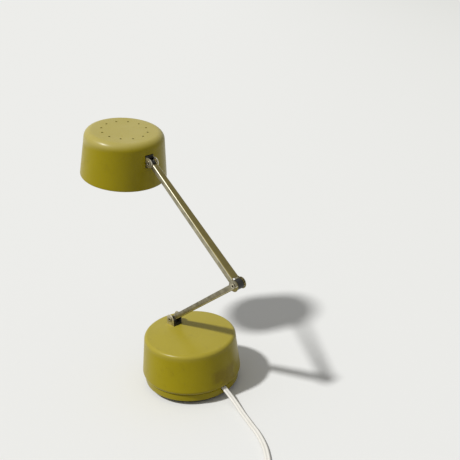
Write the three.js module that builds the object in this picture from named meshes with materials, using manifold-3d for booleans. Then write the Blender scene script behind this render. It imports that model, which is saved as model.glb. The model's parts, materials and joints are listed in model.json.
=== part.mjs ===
// Folding low-voltage desk lamp with a drum base, two tapered channel arms and a drum shade.
// Millimetres, +Z up. The origin is the centre of the underside, on the table top. The arms fold in
// the XZ plane, so every hinge axis runs along Y, and the mains cord leaves the base towards +X.
import * as THREE from "three";
import { mergeVertices } from "three/addons/utils/BufferGeometryUtils.js";
import Module from "manifold-3d";

// ---- Driving dimensions ----
const GAP = 0.3; // between pieces that touch
const SHEET = 0.8; // nickel-plated strip of the arms and brackets

// Base casing
const BASE_RADIUS = 52.5;
const BASE_WIDEST_Z = 17;
const SEAM_RADIUS = BASE_RADIUS - 1.9;
const SEAM_Z = 12.7;
const PAN_RADIUS = SEAM_RADIUS - 0.4;
const PAN_Z = 4.5;
const BASE_TOP_RADIUS = BASE_RADIUS - 3.9;
const BASE_TOP_Z = 57.3;
const BASE_TOP_ROUND = 4;
const BASE_CROWN = 1.8;
const CASING_WALL = 1.2;
const PAN_LIP = 3;
const PAD_RADIUS = PAN_RADIUS - 5.2;
const SCREW_RING = PAD_RADIUS - 6.5;

// Arms
const HINGE_X = -0.48 * BASE_RADIUS;
const HINGE_Z = 65;
const LOWER_LENGTH = 125.6;
const LOWER_ANGLE = THREE.MathUtils.degToRad(36.85);
const LOWER_DEPTH = 5.7;
const LOWER_HALF_WIDTH = { base: 3.6, elbow: 5.7 };
const LOWER_EAR = { base: 3.6, elbow: 5.9 };
const UPPER_LENGTH = 153.3;
const UPPER_ANGLE = THREE.MathUtils.degToRad(38.4);
const UPPER_DEPTH = { elbow: 6.7, head: 5.3 };
const UPPER_HALF_WIDTH = { elbow: 4.6, head: 3.2 };
const UPPER_EAR = { elbow: 5.2, head: 3.2 };
const ELBOW_WEB_CUT = 6.2; // the webs stop this far from the elbow pin
const END_WEB_CUT = 4.8; // and this far from the base and head pins

// Tubular rivets
const RIVET_RADIUS = 1.7;
const RIVET_BORE = 1.2;
const RIVET_FLANGE = 2.8;
const RIVET_FLANGE_THICK = 0.6;
const SPRING_WASHER = 0.5;
const PIN_HOLE = RIVET_RADIUS + GAP;
const BUSH = { base: 2.9, elbow: 5, head: 2.4 };

// Insulated lead in each arm: its section, and how far it stops short of the pins
const LEAD = { halfWidth: 1.7, height: 1.7, fromEnd: 8, fromElbow: 18 };

// Base fork and its insulating cradle
const FORK_HALF_LENGTH = 5.5;
const FORK_WEB_Z = 48;
const FORK_WEB = 1.2;
const CHEEK = 0.9;
const CRADLE_BACK = 5.2;
const CRADLE_FRONT = 6.2;
const CRADLE_TOP = 1.2; // cheeks above the pin's centre
const CRADLE_FLOOR = 4.1; // cradle floor below the pin's centre

// Head
const HEAD_TILT = THREE.MathUtils.degToRad(9.9);
const HEAD_RIM_DROP = 30.2; // from the pin down to the rim
const HEAD_HEIGHT = 49;
const HEAD_RIM_RADIUS = 45.85;
const HEAD_TAPER = 4.7; // rim radius less top radius
const HEAD_STANDOFF = 4.3; // from the shade's wall out to the pin
const HEAD_ROUND = 8.4;
const HEAD_WALL = 1;
const VENT_COUNT = 12;
const VENT_RING = 0.525 * HEAD_RIM_RADIUS;
const VENT_RADIUS = 1.2;
const BELL_INSET = 1.5; // the reflector's rim above the shade's
const BELL_WAIST = { narrower: 8.8, height: 22 }; // its skirt meets its dome here
const BELL_HEADROOM = 4.5; // from its dome up to the shade's top
const BELL_WALL = 0.7;
const BRACKET_INSIDE = 3.6;
const BRACKET_EAR = 5;
const BRACKET_BACK = 9.8;
const HEAD_SLOT = { halfWidth: BRACKET_INSIDE + SHEET + GAP, halfHeight: 6.5 };

// Bulb and holder
const BULB_DROP = 5; // bulb axis below the head pin
const BULB_RADIUS = 9.2;
const BULB_WALL = 0.8;
const CAP_RADIUS = 7.5;
const CAP_WALL = 0.6;
const CAP_NECK = 37.5; // cap's open end, from the pin
const BULB_CENTRE = CAP_NECK + 10.8;
const CAP_END = 22; // cap's closed end, from the pin
const HOLDER_WALL = 1;
const HOLDER_FRONT = 31;
const HOLDER_FLOOR = 16;

// Rocker switch, upright in the wall below the head
const SWITCH_Z = 0.61 * BASE_TOP_Z;
const SWITCH_BEZEL = { halfWidth: 7.5, halfHeight: 10.5 };
const SWITCH_WINDOW = { halfWidth: 5, halfHeight: 8.1 };
const SWITCH_PROUD = 1.5;
const SWITCH_DEPTH = 12;
const ROCKER_PIVOT = 2.5; // behind the wall's surface
const ROCKER_REST = THREE.MathUtils.degToRad(-10);
const ROCKER = { proud: 0.7, valley: 1.2, depth: 3, draft: 1.6, clearance: 1.1 };
const TERMINAL_TAB = { length: 5.7, halfWidth: 2.4, halfThick: 0.4, offset: 4 };

// Transformer
const CORE = { x: 6, width: 44, height: 36, stack: 20, leg: 14.6, yoke: 7.2 };
const CORE_FLOOR = 8;
const STRAP = 1;
const STRAP_FOOT = 8;
const WINDING_BULGE = 6.2;
const BOBBIN_WALL = 1;
const STRAP_HALF_WIDTH = 7;

// Screws: head radius and height, shank radius, and the clearance hole that each shank needs
const PAN_SCREW = { head: 3, headHeight: 1.6, shank: 1.5 };
const STRAP_SCREW = { head: 2.8, headHeight: 1.8, shank: 1.5 };
const CLAMP_SCREW = { head: 2.2, headHeight: 1.5, shank: 1.2 };
const FORK_SCREW = { head: 3.6, headHeight: 2, shank: 2 };
const SCREW_COUNT = 3; // round the pan
const BRACKET_TAB = { thick: 1.2, halfWidth: 5, height: 10, inner: SCREW_RING - 4 };

// Terminal block and cord clamp
const TERMINALS = { x0: 8, x1: 30, y0: 24, y1: 33, height: 11, bore: 2, pitch: 10 };
const CLAMP_SCREW_Y = 5.9;

// Mains cord: flat twin flex
const CORD_WIDTH = 5.6;
const CORD_THICK = 2.8;
const CORD_Z = 12;
const CORD_START_X = SEAM_RADIUS - 12;
// Its route, measured from the seam: out of the notch, down to the table and out to the coil.
const CORD_DROP = [
  { x: -12, y: 0, z: CORD_Z },
  { x: -8.6, y: 0, z: CORD_Z },
  { x: -4.6, y: 0, z: CORD_Z },
  { x: 0, y: -0.1, z: 11.7 },
  { x: 4, y: -0.4, z: 10.2 },
  { x: 8.4, y: -0.6, z: 8.1 },
  { x: 13.7, y: -1.1, z: 5.7 },
  { x: 20.2, y: -2.4, z: 3.7 },
  { x: 27.4, y: -4.6, z: 2.4 },
  { x: 35.4, y: -7.5, z: 1.8 },
];
const CORD_REST_Z = 1.7;
const CORD_RUN = [
  { x: 44.9, y: -10.9 },
  { x: 54.4, y: -14.4 },
  { x: 65.4, y: -18.2 },
  { x: 76.8, y: -23.4 },
  { x: 88.4, y: -30.2 },
  { x: 102.9, y: -41.9 },
  { x: 115.7, y: -55.8 },
  { x: 127.8, y: -70.5 },
  { x: 140.4, y: -84.6 },
  { x: 154.6, y: -96.9 },
];
const COIL_CENTRE = { x: SEAM_RADIUS + 179.8, y: -61 };
const COIL_INNER = 25.4;
const COIL_OUTER = 40.4;
const COIL_HEIGHT = 11.8;
const TIE_ANGLE = THREE.MathUtils.degToRad(150);
const PLUG_ANGLE = THREE.MathUtils.degToRad(90);
const PLUG_OFFSET = { across: 35.9, along: 60 }; // from the coil's centre to the plug's face
const PLUG = { width: 24, depth: 15, length: 26, tail: 9 };
const BLADE = { width: 6.3, thick: 1.5, length: 17, spacing: 12.7, set: 8, hole: 1.5 };
const TIE = { thick: 1, halfWidth: 2 };

// ---- Helpers ----
const wasm = await Module();
wasm.setup();

function toSolid(geometry) {
  const bare = geometry.clone();
  bare.deleteAttribute("normal");
  bare.deleteAttribute("uv");
  const merged = mergeVertices(bare, 1e-4);
  return new wasm.Manifold(
    new wasm.Mesh({
      numProp: 3,
      vertProperties: new Float32Array(merged.attributes.position.array),
      triVerts: new Uint32Array(merged.index.array),
    }),
  );
}

function toGeometry(solid) {
  const mesh = solid.getMesh();
  const geometry = new THREE.BufferGeometry();
  geometry.setAttribute(
    "position",
    new THREE.BufferAttribute(mesh.vertProperties, 3),
  );
  geometry.setIndex(new THREE.BufferAttribute(mesh.triVerts, 1));
  return geometry;
}

function join(...geometries) {
  return toGeometry(geometries.map(toSolid).reduce((a, b) => a.add(b)));
}

function cut(body, ...tools) {
  return toGeometry(
    tools.map(toSolid).reduce((a, b) => a.subtract(b), toSolid(body)),
  );
}

// A solid of revolution about Z. The profile runs (radius, height), with the material on its left.
function turned(profile, sides = 48, curveSteps = 2) {
  return new THREE.LatheGeometry(
    profile.getPoints(curveSteps),
    sides,
  ).rotateX(Math.PI / 2);
}

function box(x0, x1, y0, y1, z0, z1) {
  return new THREE.BoxGeometry(x1 - x0, y1 - y0, z1 - z0).translate(
    (x0 + x1) / 2,
    (y0 + y1) / 2,
    (z0 + z1) / 2,
  );
}

// An XZ outline given thickness from y0 to y1.
function sidePlate(shape, y0, y1, curveSegments = 8) {
  return new THREE.ExtrudeGeometry(shape, {
    depth: y1 - y0,
    bevelEnabled: false,
    curveSegments,
  })
    .rotateX(Math.PI / 2)
    .translate(0, y1, 0);
}

// An XY outline given thickness from z0 to z1.
function flatPlate(shape, z0, z1, curveSegments = 6) {
  return new THREE.ExtrudeGeometry(shape, {
    depth: z1 - z0,
    bevelEnabled: false,
    curveSegments,
  }).translate(0, 0, z0);
}

function rodY(radius, y0, y1, x = 0, z = 0, sides = 24) {
  return new THREE.CylinderGeometry(radius, radius, y1 - y0, sides).translate(
    x,
    (y0 + y1) / 2,
    z,
  );
}

function rodZ(radius, z0, z1, x = 0, y = 0, sides = 24) {
  return new THREE.CylinderGeometry(radius, radius, z1 - z0, sides)
    .rotateX(Math.PI / 2)
    .translate(x, y, (z0 + z1) / 2);
}

function rectangle(x0, x1, z0, z1, round = 0) {
  const shape = new THREE.Shape();
  if (round === 0) {
    shape.moveTo(x0, z0).lineTo(x1, z0).lineTo(x1, z1).lineTo(x0, z1);
    return shape;
  }
  shape.absarc(x1 - round, z0 + round, round, -Math.PI / 2, 0);
  shape.absarc(x1 - round, z1 - round, round, 0, Math.PI / 2);
  shape.absarc(x0 + round, z1 - round, round, Math.PI / 2, Math.PI);
  shape.absarc(x0 + round, z0 + round, round, Math.PI, 1.5 * Math.PI);
  return shape;
}

function circle(x, z, radius) {
  const path = new THREE.Path();
  path.absarc(x, z, radius, 0, 2 * Math.PI, true);
  return path;
}

// A washer or bush: a ring about Y.
function ringY(outer, inner, y0, y1, sides = 24) {
  const profile = new THREE.Path();
  profile.moveTo(inner, -y1).lineTo(outer, -y1).lineTo(outer, -y0);
  profile.lineTo(inner, -y0).lineTo(inner, -y1);
  return turned(profile, sides).rotateX(Math.PI / 2);
}

// A cheese-head screw along Z: its head is at z0 and its shank runs to z1.
function screw(size, z0, z1) {
  const up = Math.sign(z1 - z0);
  const { head: headRadius, headHeight, shank: shankRadius } = size;
  const head = rodZ(
    headRadius,
    Math.min(z0, z0 + up * headHeight),
    Math.max(z0, z0 + up * headHeight),
    0,
    0,
    16,
  );
  const shank = rodZ(
    shankRadius,
    Math.min(z0 + 0.1 * up, z1),
    Math.max(z0 + 0.1 * up, z1),
    0,
    0,
    12,
  );
  const slot = box(
    -headRadius,
    headRadius,
    -0.35,
    0.35,
    Math.min(z0 - up, z0 + up * 0.7),
    Math.max(z0 - up, z0 + up * 0.7),
  );
  return cut(join(head, shank), slot);
}

const lamp = new THREE.Group();

const FINISH = {
  olive: [0x8f7f14, 0.42, 0],
  nickel: [0xa39a84, 0.3, 0.9],
  blackPlastic: [0x14130f, 0.5, 0],
  rubber: [0x1b1b19, 0.85, 0],
  steel: [0x8d8f90, 0.4, 0.9],
  core: [0x4f5256, 0.6, 0.7],
  copper: [0xa0552b, 0.35, 0.9],
  brass: [0xb08d43, 0.35, 0.9],
  nylon: [0xe0dcc8, 0.5, 0],
  ivoryFlex: [0xe9e4d2, 0.45, 0],
  white: [0xeeece6, 0.35, 0],
  glass: [0xf4f4f0, 0.05, 0],
  tungsten: [0x5a5a5c, 0.5, 0.8],
};

function add(parent, name, geometry, finishName) {
  const [color, roughness, metalness] = FINISH[finishName];
  const material = new THREE.MeshStandardMaterial({
    color,
    roughness,
    metalness,
  });
  const mesh = new THREE.Mesh(geometry, material);
  mesh.name = name;
  parent.add(mesh);
  return mesh;
}

// ---- Base casing ----
const crownAt = (radius) =>
  BASE_TOP_Z + BASE_CROWN * (1 - (radius / (BASE_TOP_RADIUS - BASE_TOP_ROUND)) ** 2);
const wallSlope =
  (BASE_RADIUS - BASE_TOP_RADIUS) / (BASE_TOP_Z - BASE_TOP_ROUND - BASE_WIDEST_Z);
const wallRadiusAt = (z) => BASE_RADIUS - wallSlope * (z - BASE_WIDEST_Z);

const forkInside = LOWER_HALF_WIDTH.base + GAP + CHEEK + GAP;
const forkOutside = forkInside + SHEET;
const slotFront = CRADLE_FRONT + GAP;
const slotBack = FORK_HALF_LENGTH + GAP;

const switchPlace = new THREE.Group();
switchPlace.position.set(-wallRadiusAt(SWITCH_Z), 0, SWITCH_Z);
switchPlace.rotation.y = Math.atan(wallSlope);
lamp.add(switchPlace);
switchPlace.updateMatrix();

const cordNotch = box(
  CORD_START_X + 6,
  BASE_RADIUS + 5,
  -CORD_WIDTH / 2 - 0.8,
  CORD_WIDTH / 2 + 0.8,
  CORD_Z - CORD_THICK / 2 - 0.5,
  CORD_Z + CORD_THICK / 2 + 0.9,
);

function baseShell() {
  const roundCentre = BASE_TOP_RADIUS - BASE_TOP_ROUND;
  const shoulderZ = BASE_TOP_Z - BASE_TOP_ROUND;
  const bottomZ = SEAM_Z + GAP / 2;
  const bulgeZ = (bottomZ + BASE_WIDEST_Z) / 2;
  const crownZ = BASE_TOP_Z + BASE_CROWN;
  const profile = new THREE.Path();
  profile.moveTo(0, crownZ - CASING_WALL);
  profile.quadraticCurveTo(
    roundCentre / 2,
    crownZ - CASING_WALL,
    roundCentre,
    BASE_TOP_Z - CASING_WALL,
  );
  profile.absarc(
    roundCentre,
    shoulderZ,
    BASE_TOP_ROUND - CASING_WALL,
    Math.PI / 2,
    0,
    true,
  );
  profile.lineTo(BASE_RADIUS - CASING_WALL, BASE_WIDEST_Z);
  profile.quadraticCurveTo(
    BASE_RADIUS - CASING_WALL,
    bulgeZ,
    SEAM_RADIUS - CASING_WALL,
    bottomZ,
  );
  profile.lineTo(SEAM_RADIUS, bottomZ);
  profile.quadraticCurveTo(BASE_RADIUS, bulgeZ, BASE_RADIUS, BASE_WIDEST_Z);
  profile.lineTo(BASE_TOP_RADIUS, shoulderZ);
  profile.absarc(roundCentre, shoulderZ, BASE_TOP_ROUND, 0, Math.PI / 2);
  profile.quadraticCurveTo(roundCentre / 2, crownZ, 0, crownZ);

  const hingeSlot = box(
    HINGE_X - slotBack,
    HINGE_X + slotFront,
    -forkOutside - GAP,
    forkOutside + GAP,
    BASE_TOP_Z - 8,
    BASE_TOP_Z + 8,
  );
  const switchHole = box(
    -6,
    6,
    -SWITCH_BEZEL.halfWidth - GAP,
    SWITCH_BEZEL.halfWidth + GAP,
    -SWITCH_BEZEL.halfHeight - GAP,
    SWITCH_BEZEL.halfHeight + GAP,
  ).applyMatrix4(switchPlace.matrix);
  return cut(turned(profile), hingeSlot, switchHole, cordNotch);
}

const screwAngle = (i) => Math.PI / 2 + (i * 2 * Math.PI) / SCREW_COUNT;
const panFloor = PAN_Z + 1.5;

function basePan() {
  const lipOuter = SEAM_RADIUS - CASING_WALL - GAP;
  const lipInner = lipOuter - CASING_WALL;
  const edge = 1.8;
  const topZ = SEAM_Z - GAP / 2;
  const profile = new THREE.Path();
  profile.moveTo(0, PAN_Z);
  profile.lineTo(PAN_RADIUS - edge, PAN_Z);
  profile.quadraticCurveTo(PAN_RADIUS, PAN_Z, PAN_RADIUS, PAN_Z + edge);
  profile.lineTo(SEAM_RADIUS, topZ);
  profile.lineTo(lipOuter, topZ);
  profile.lineTo(lipOuter - 0.4, topZ + PAN_LIP);
  profile.lineTo(lipInner, topZ + PAN_LIP);
  profile.lineTo(lipInner, panFloor);
  profile.lineTo(0, panFloor);
  const holes = [];
  for (let i = 0; i < SCREW_COUNT; i++) {
    holes.push(
      rodZ(
        PAN_SCREW.shank + GAP,
        PAN_Z - 1,
        panFloor + 1,
        SCREW_RING * Math.cos(screwAngle(i)),
        SCREW_RING * Math.sin(screwAngle(i)),
        12,
      ),
    );
  }
  return cut(turned(profile), cordNotch, ...holes);
}

function footPad() {
  const chamfer = 0.8;
  const profile = new THREE.Path();
  profile.moveTo(0, 0);
  profile.lineTo(PAD_RADIUS - chamfer, 0);
  profile.lineTo(PAD_RADIUS, chamfer);
  profile.lineTo(PAD_RADIUS, PAN_Z - GAP);
  profile.lineTo(0, PAN_Z - GAP);
  const wells = [];
  for (let i = 0; i < SCREW_COUNT; i++) {
    wells.push(
      rodZ(
        PAN_SCREW.head + GAP,
        -1,
        PAN_Z + 1,
        SCREW_RING * Math.cos(screwAngle(i)),
        SCREW_RING * Math.sin(screwAngle(i)),
        16,
      ),
    );
  }
  return cut(turned(profile), ...wells);
}

add(lamp, "base_shell", baseShell(), "olive");
add(lamp, "base_pan", basePan(), "olive");
add(lamp, "foot_pad", footPad(), "rubber");

// Three L brackets inside the shell take the screws that hold the pan.
for (let i = 0; i < SCREW_COUNT; i++) {
  const place = new THREE.Group();
  place.rotation.z = screwAngle(i);
  lamp.add(place);
  const tabZ = SEAM_Z + PAN_LIP + 2 * GAP;
  const topZ = tabZ + BRACKET_TAB.height;
  const wall = wallRadiusAt(topZ) - CASING_WALL;
  const reach =
    Math.sqrt(wall ** 2 - BRACKET_TAB.halfWidth ** 2) - GAP;
  const tab = box(
    BRACKET_TAB.inner,
    reach,
    -BRACKET_TAB.halfWidth,
    BRACKET_TAB.halfWidth,
    tabZ,
    tabZ + BRACKET_TAB.thick,
  );
  const leg = box(
    reach - BRACKET_TAB.thick,
    reach,
    -BRACKET_TAB.halfWidth,
    BRACKET_TAB.halfWidth,
    tabZ,
    topZ,
  );
  const hole = rodZ(
    PAN_SCREW.shank + GAP,
    tabZ - 1,
    tabZ + BRACKET_TAB.thick + 1,
    SCREW_RING,
    0,
    12,
  );
  add(place, `shell_bracket_${i + 1}`, cut(join(tab, leg), hole), "steel");
  const panScrew = add(
    place,
    `pan_screw_${i + 1}`,
    screw(
      PAN_SCREW,
      PAN_Z - GAP - PAN_SCREW.headHeight,
      tabZ + BRACKET_TAB.thick + 2.5,
    ),
    "steel",
  );
  panScrew.position.x = SCREW_RING;
}

// ---- Rocker switch ----
function switchHousing() {
  const bezel = box(
    -SWITCH_PROUD,
    3,
    -SWITCH_BEZEL.halfWidth,
    SWITCH_BEZEL.halfWidth,
    -SWITCH_BEZEL.halfHeight,
    SWITCH_BEZEL.halfHeight,
  );
  const body = box(
    2.9,
    SWITCH_DEPTH,
    -SWITCH_WINDOW.halfWidth - 1.2,
    SWITCH_WINDOW.halfWidth + 1.2,
    -SWITCH_WINDOW.halfHeight - 1.2,
    SWITCH_WINDOW.halfHeight + 1.2,
  );
  const cavity = box(
    -SWITCH_PROUD - 1,
    SWITCH_DEPTH - 2,
    -SWITCH_WINDOW.halfWidth,
    SWITCH_WINDOW.halfWidth,
    -SWITCH_WINDOW.halfHeight,
    SWITCH_WINDOW.halfHeight,
  );
  return cut(join(bezel, body), cavity);
}

// The rocker's outline about its pivot: two facets that meet in a shallow valley.
function rocker() {
  const face = -SWITCH_PROUD - ROCKER.proud - ROCKER_PIVOT;
  const valley = face + ROCKER.valley;
  const tip = SWITCH_WINDOW.halfHeight - ROCKER.clearance;
  const outline = new THREE.Shape();
  outline.moveTo(face, -tip);
  outline.lineTo(ROCKER.depth, -tip + ROCKER.draft);
  outline.lineTo(ROCKER.depth, tip - ROCKER.draft);
  outline.lineTo(face, tip);
  outline.lineTo(valley, 0);
  const halfWidth = SWITCH_WINDOW.halfWidth - GAP;
  return sidePlate(outline, -halfWidth, halfWidth);
}

add(switchPlace, "switch_housing", switchHousing(), "blackPlastic");
const switchRocker = add(switchPlace, "switch_rocker", rocker(), "nylon");
switchRocker.position.x = ROCKER_PIVOT;
switchRocker.rotation.y = ROCKER_REST;
for (const side of [-1, 1]) {
  const tab = box(
    SWITCH_DEPTH + GAP,
    SWITCH_DEPTH + GAP + TERMINAL_TAB.length,
    -TERMINAL_TAB.halfWidth,
    TERMINAL_TAB.halfWidth,
    side * TERMINAL_TAB.offset - TERMINAL_TAB.halfThick,
    side * TERMINAL_TAB.offset + TERMINAL_TAB.halfThick,
  );
  add(
    switchPlace,
    side < 0 ? "switch_terminal_1" : "switch_terminal_2",
    tab,
    "brass",
  );
}

// ---- Transformer ----
const coreLeft = CORE.x - CORE.width / 2;
const coreRight = CORE.x + CORE.width / 2;
const coreTop = CORE_FLOOR + CORE.height;
const windowWidth = (CORE.width - CORE.leg) / 2 - CORE.yoke;
const windowLow = CORE_FLOOR + CORE.yoke;
const windowHigh = coreTop - CORE.yoke;

function transformerCore() {
  const half = CORE.stack / 2;
  const windows = [coreLeft + CORE.yoke, coreRight - CORE.yoke - windowWidth].map(
    (x) => box(x, x + windowWidth, -half - 1, half + 1, windowLow, windowHigh),
  );
  return cut(
    box(coreLeft, coreRight, -half, half, CORE_FLOOR, coreTop),
    ...windows,
  );
}

// A rectangular ring about the core's centre leg, from z0 to z1.
function legRing(inner, outer, z0, z1) {
  const outline = rectangle(
    CORE.x - CORE.leg / 2 - outer,
    CORE.x + CORE.leg / 2 + outer,
    -CORE.stack / 2 - outer,
    CORE.stack / 2 + outer,
    1.5,
  );
  outline.holes.push(
    rectangle(
      CORE.x - CORE.leg / 2 - inner,
      CORE.x + CORE.leg / 2 + inner,
      -CORE.stack / 2 - inner,
      CORE.stack / 2 + inner,
    ),
  );
  return flatPlate(outline, z0, z1);
}

function bobbin() {
  const wall = BOBBIN_WALL;
  const flange = windowWidth - GAP;
  const middle = (windowLow + windowHigh) / 2;
  const low = windowLow + GAP;
  const high = windowHigh - GAP;
  return join(
    legRing(GAP, GAP + wall, low, high),
    legRing(GAP, flange, low, low + wall),
    legRing(GAP, flange, middle - wall / 2, middle + wall / 2),
    legRing(GAP, flange, high - wall, high),
  );
}

function winding(lowerHalf) {
  const wall = BOBBIN_WALL;
  const middle = (windowLow + windowHigh) / 2;
  const low = windowLow + wall + 2 * GAP;
  const high = windowHigh - wall - 2 * GAP;
  const inner = wall + 2 * GAP;
  const outer = Math.min(WINDING_BULGE, windowWidth - GAP);
  return lowerHalf
    ? legRing(inner, outer, low, middle - wall / 2 - GAP)
    : legRing(inner, outer - 0.8, middle + wall / 2 + GAP, high);
}

function strap() {
  const half = STRAP_HALF_WIDTH;
  const low = panFloor + GAP;
  const inLeft = coreLeft - GAP;
  const inRight = coreRight + GAP;
  const top = coreTop + GAP;
  const hoop = join(
    box(inLeft - STRAP, inLeft, -half, half, low, top + STRAP),
    box(inRight, inRight + STRAP, -half, half, low, top + STRAP),
    box(inLeft - STRAP, inRight + STRAP, -half, half, top, top + STRAP),
    box(inLeft - STRAP_FOOT, inLeft, -half, half, low, low + STRAP),
    box(inRight, inRight + STRAP_FOOT, -half, half, low, low + STRAP),
  );
  const screwHoles = strapScrewX.map((x) =>
    rodZ(STRAP_SCREW.shank + GAP, low - 1, low + STRAP + 1, x, 0, 12),
  );
  return cut(hoop, ...screwHoles);
}

const strapScrewX = [
  coreLeft - GAP - STRAP_FOOT / 2 - 0.5,
  coreRight + GAP + STRAP_FOOT / 2 + 0.5,
];
add(lamp, "transformer_core", transformerCore(), "core");
add(lamp, "transformer_bobbin", bobbin(), "nylon");
add(lamp, "primary_winding", winding(true), "copper");
add(lamp, "secondary_winding", winding(false), "copper");
add(lamp, "transformer_strap", strap(), "steel");
strapScrewX.forEach((x, i) => {
  const head = panFloor + 2 * GAP + STRAP;
  const piece = add(
    lamp,
    `transformer_screw_${i + 1}`,
    screw(STRAP_SCREW, head + STRAP_SCREW.headHeight, panFloor + GAP),
    "steel",
  );
  piece.position.x = x;
});

// ---- Terminal block and cord clamp ----
const terminalBlock = cut(
  box(
    TERMINALS.x0,
    TERMINALS.x1,
    TERMINALS.y0,
    TERMINALS.y1,
    panFloor + GAP,
    panFloor + TERMINALS.height,
  ),
  ...[0, 1].map((i) =>
    rodY(
      TERMINALS.bore,
      TERMINALS.y0 - 1,
      TERMINALS.y1 + 1,
      TERMINALS.x0 + 6 + i * TERMINALS.pitch,
      panFloor + TERMINALS.height / 2 - 0.5,
      12,
    ),
  ),
);
add(lamp, "terminal_block", terminalBlock, "nylon");

const CLAMP = {
  x0: CORD_START_X + 0.5,
  x1: CORD_START_X + 5.5,
  halfWidth: 8.5,
  top: CORD_Z + 4,
};
const clampHoles = [-1, 1].map((side) =>
  rodZ(
    CLAMP_SCREW.shank + GAP,
    panFloor,
    CLAMP.top + 1,
    (CLAMP.x0 + CLAMP.x1) / 2,
    side * CLAMP_SCREW_Y,
    12,
  ),
);
const clampWindow = box(
  CLAMP.x0 - 1,
  CLAMP.x1 + 1,
  -CORD_WIDTH / 2 - GAP,
  CORD_WIDTH / 2 + GAP,
  CORD_Z - CORD_THICK / 2 - GAP,
  CORD_Z + CORD_THICK / 2 + GAP,
);
const clampBody = box(
  CLAMP.x0,
  CLAMP.x1,
  -CLAMP.halfWidth,
  CLAMP.halfWidth,
  panFloor + GAP,
  CLAMP.top,
);
add(lamp, "cord_clamp", cut(clampBody, clampWindow, ...clampHoles), "nylon");
[-1, 1].forEach((side, i) => {
  const piece = add(
    lamp,
    `clamp_screw_${i + 1}`,
    screw(CLAMP_SCREW, CLAMP.top + GAP + CLAMP_SCREW.headHeight, panFloor + GAP),
    "steel",
  );
  piece.position.set(
    (CLAMP.x0 + CLAMP.x1) / 2,
    side * CLAMP_SCREW_Y,
    0,
  );
});

// ---- Base hinge ----
const baseHinge = new THREE.Group();
baseHinge.position.set(HINGE_X, 0, HINGE_Z);
lamp.add(baseHinge);

function baseFork() {
  const low = FORK_WEB_Z - HINGE_Z;
  const ear = new THREE.Shape();
  ear.moveTo(-FORK_HALF_LENGTH, low);
  ear.lineTo(FORK_HALF_LENGTH, low);
  ear.absarc(0, 0, FORK_HALF_LENGTH, 0, Math.PI);
  ear.holes.push(circle(0, 0, PIN_HOLE));
  const web = box(
    -FORK_HALF_LENGTH,
    FORK_HALF_LENGTH,
    -forkOutside,
    forkOutside,
    low,
    low + FORK_WEB,
  );
  const hole = rodZ(FORK_SCREW.shank + GAP, low - 1, low + 3, 0, 0, 16);
  const fork = join(
    sidePlate(ear, -forkOutside, -forkInside),
    sidePlate(ear, forkInside, forkOutside),
    web,
  );
  return cut(fork, hole);
}

function hingeCradle() {
  const outside = forkInside - GAP;
  const inside = LOWER_HALF_WIDTH.base + GAP;
  const bottom = FORK_WEB_Z - HINGE_Z + FORK_WEB + GAP;
  const shellUnder =
    crownAt(Math.abs(HINGE_X) + CRADLE_BACK + 7) - CASING_WALL - GAP - HINGE_Z;
  const cheeks = sidePlate(
    rectangle(-CRADLE_BACK, CRADLE_FRONT, bottom, CRADLE_TOP, 1.2),
    -outside,
    outside,
  );
  const shoulder = box(
    -CRADLE_BACK - 6,
    CRADLE_FRONT + 6,
    -outside,
    outside,
    bottom,
    shellUnder,
  );
  const armRoom = box(
    -CRADLE_BACK - 1,
    CRADLE_FRONT + 1,
    -inside,
    inside,
    -CRADLE_FLOOR,
    CRADLE_TOP + 1,
  );
  const pin = rodY(PIN_HOLE, -outside - 1, outside + 1);
  const screwHole = rodZ(FORK_SCREW.shank + GAP, bottom - 1, bottom + 7, 0, 0, 16);
  return cut(join(cheeks, shoulder), armRoom, pin, screwHole);
}

// A tubular rivet along Y: a flange on each end of a tube, near end at yNear.
function rivet(yNear, yFar) {
  const profile = new THREE.Path();
  const shank = yFar - RIVET_FLANGE_THICK;
  profile.moveTo(RIVET_BORE, -yFar);
  profile.lineTo(RIVET_FLANGE - 0.3, -yFar);
  profile.lineTo(RIVET_FLANGE, -shank - 0.2);
  profile.lineTo(RIVET_FLANGE, -shank);
  profile.lineTo(RIVET_RADIUS, -shank);
  profile.lineTo(RIVET_RADIUS, -yNear - RIVET_FLANGE_THICK);
  profile.lineTo(RIVET_FLANGE, -yNear - RIVET_FLANGE_THICK);
  profile.lineTo(RIVET_FLANGE, -yNear - 0.4);
  profile.lineTo(RIVET_FLANGE - 0.3, -yNear);
  profile.lineTo(RIVET_BORE + 0.4, -yNear);
  profile.lineTo(RIVET_BORE, -yNear - 0.4);
  profile.lineTo(RIVET_BORE, -yFar);
  return turned(profile, 24).rotateX(Math.PI / 2);
}

// A rivet through ears whose outer faces are at +-outside, with a spring washer on the far side.
function pinSet(parent, name, outside) {
  const near = -outside - GAP - RIVET_FLANGE_THICK;
  const washer = outside + GAP;
  const far = washer + SPRING_WASHER + GAP + RIVET_FLANGE_THICK;
  add(parent, `${name}_rivet`, rivet(near, far), "nickel");
  add(
    parent,
    `${name}_spring_washer`,
    ringY(RIVET_FLANGE + 0.6, PIN_HOLE, washer, washer + SPRING_WASHER),
    "steel",
  );
}

add(baseHinge, "base_fork", baseFork(), "nickel");
add(baseHinge, "hinge_cradle", hingeCradle(), "blackPlastic");
pinSet(baseHinge, "base", forkOutside);
add(
  baseHinge,
  "fork_screw",
  screw(
    FORK_SCREW,
    FORK_WEB_Z - HINGE_Z - GAP - FORK_SCREW.headHeight,
    FORK_WEB_Z - HINGE_Z + FORK_WEB + 6,
  ),
  "steel",
);

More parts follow.
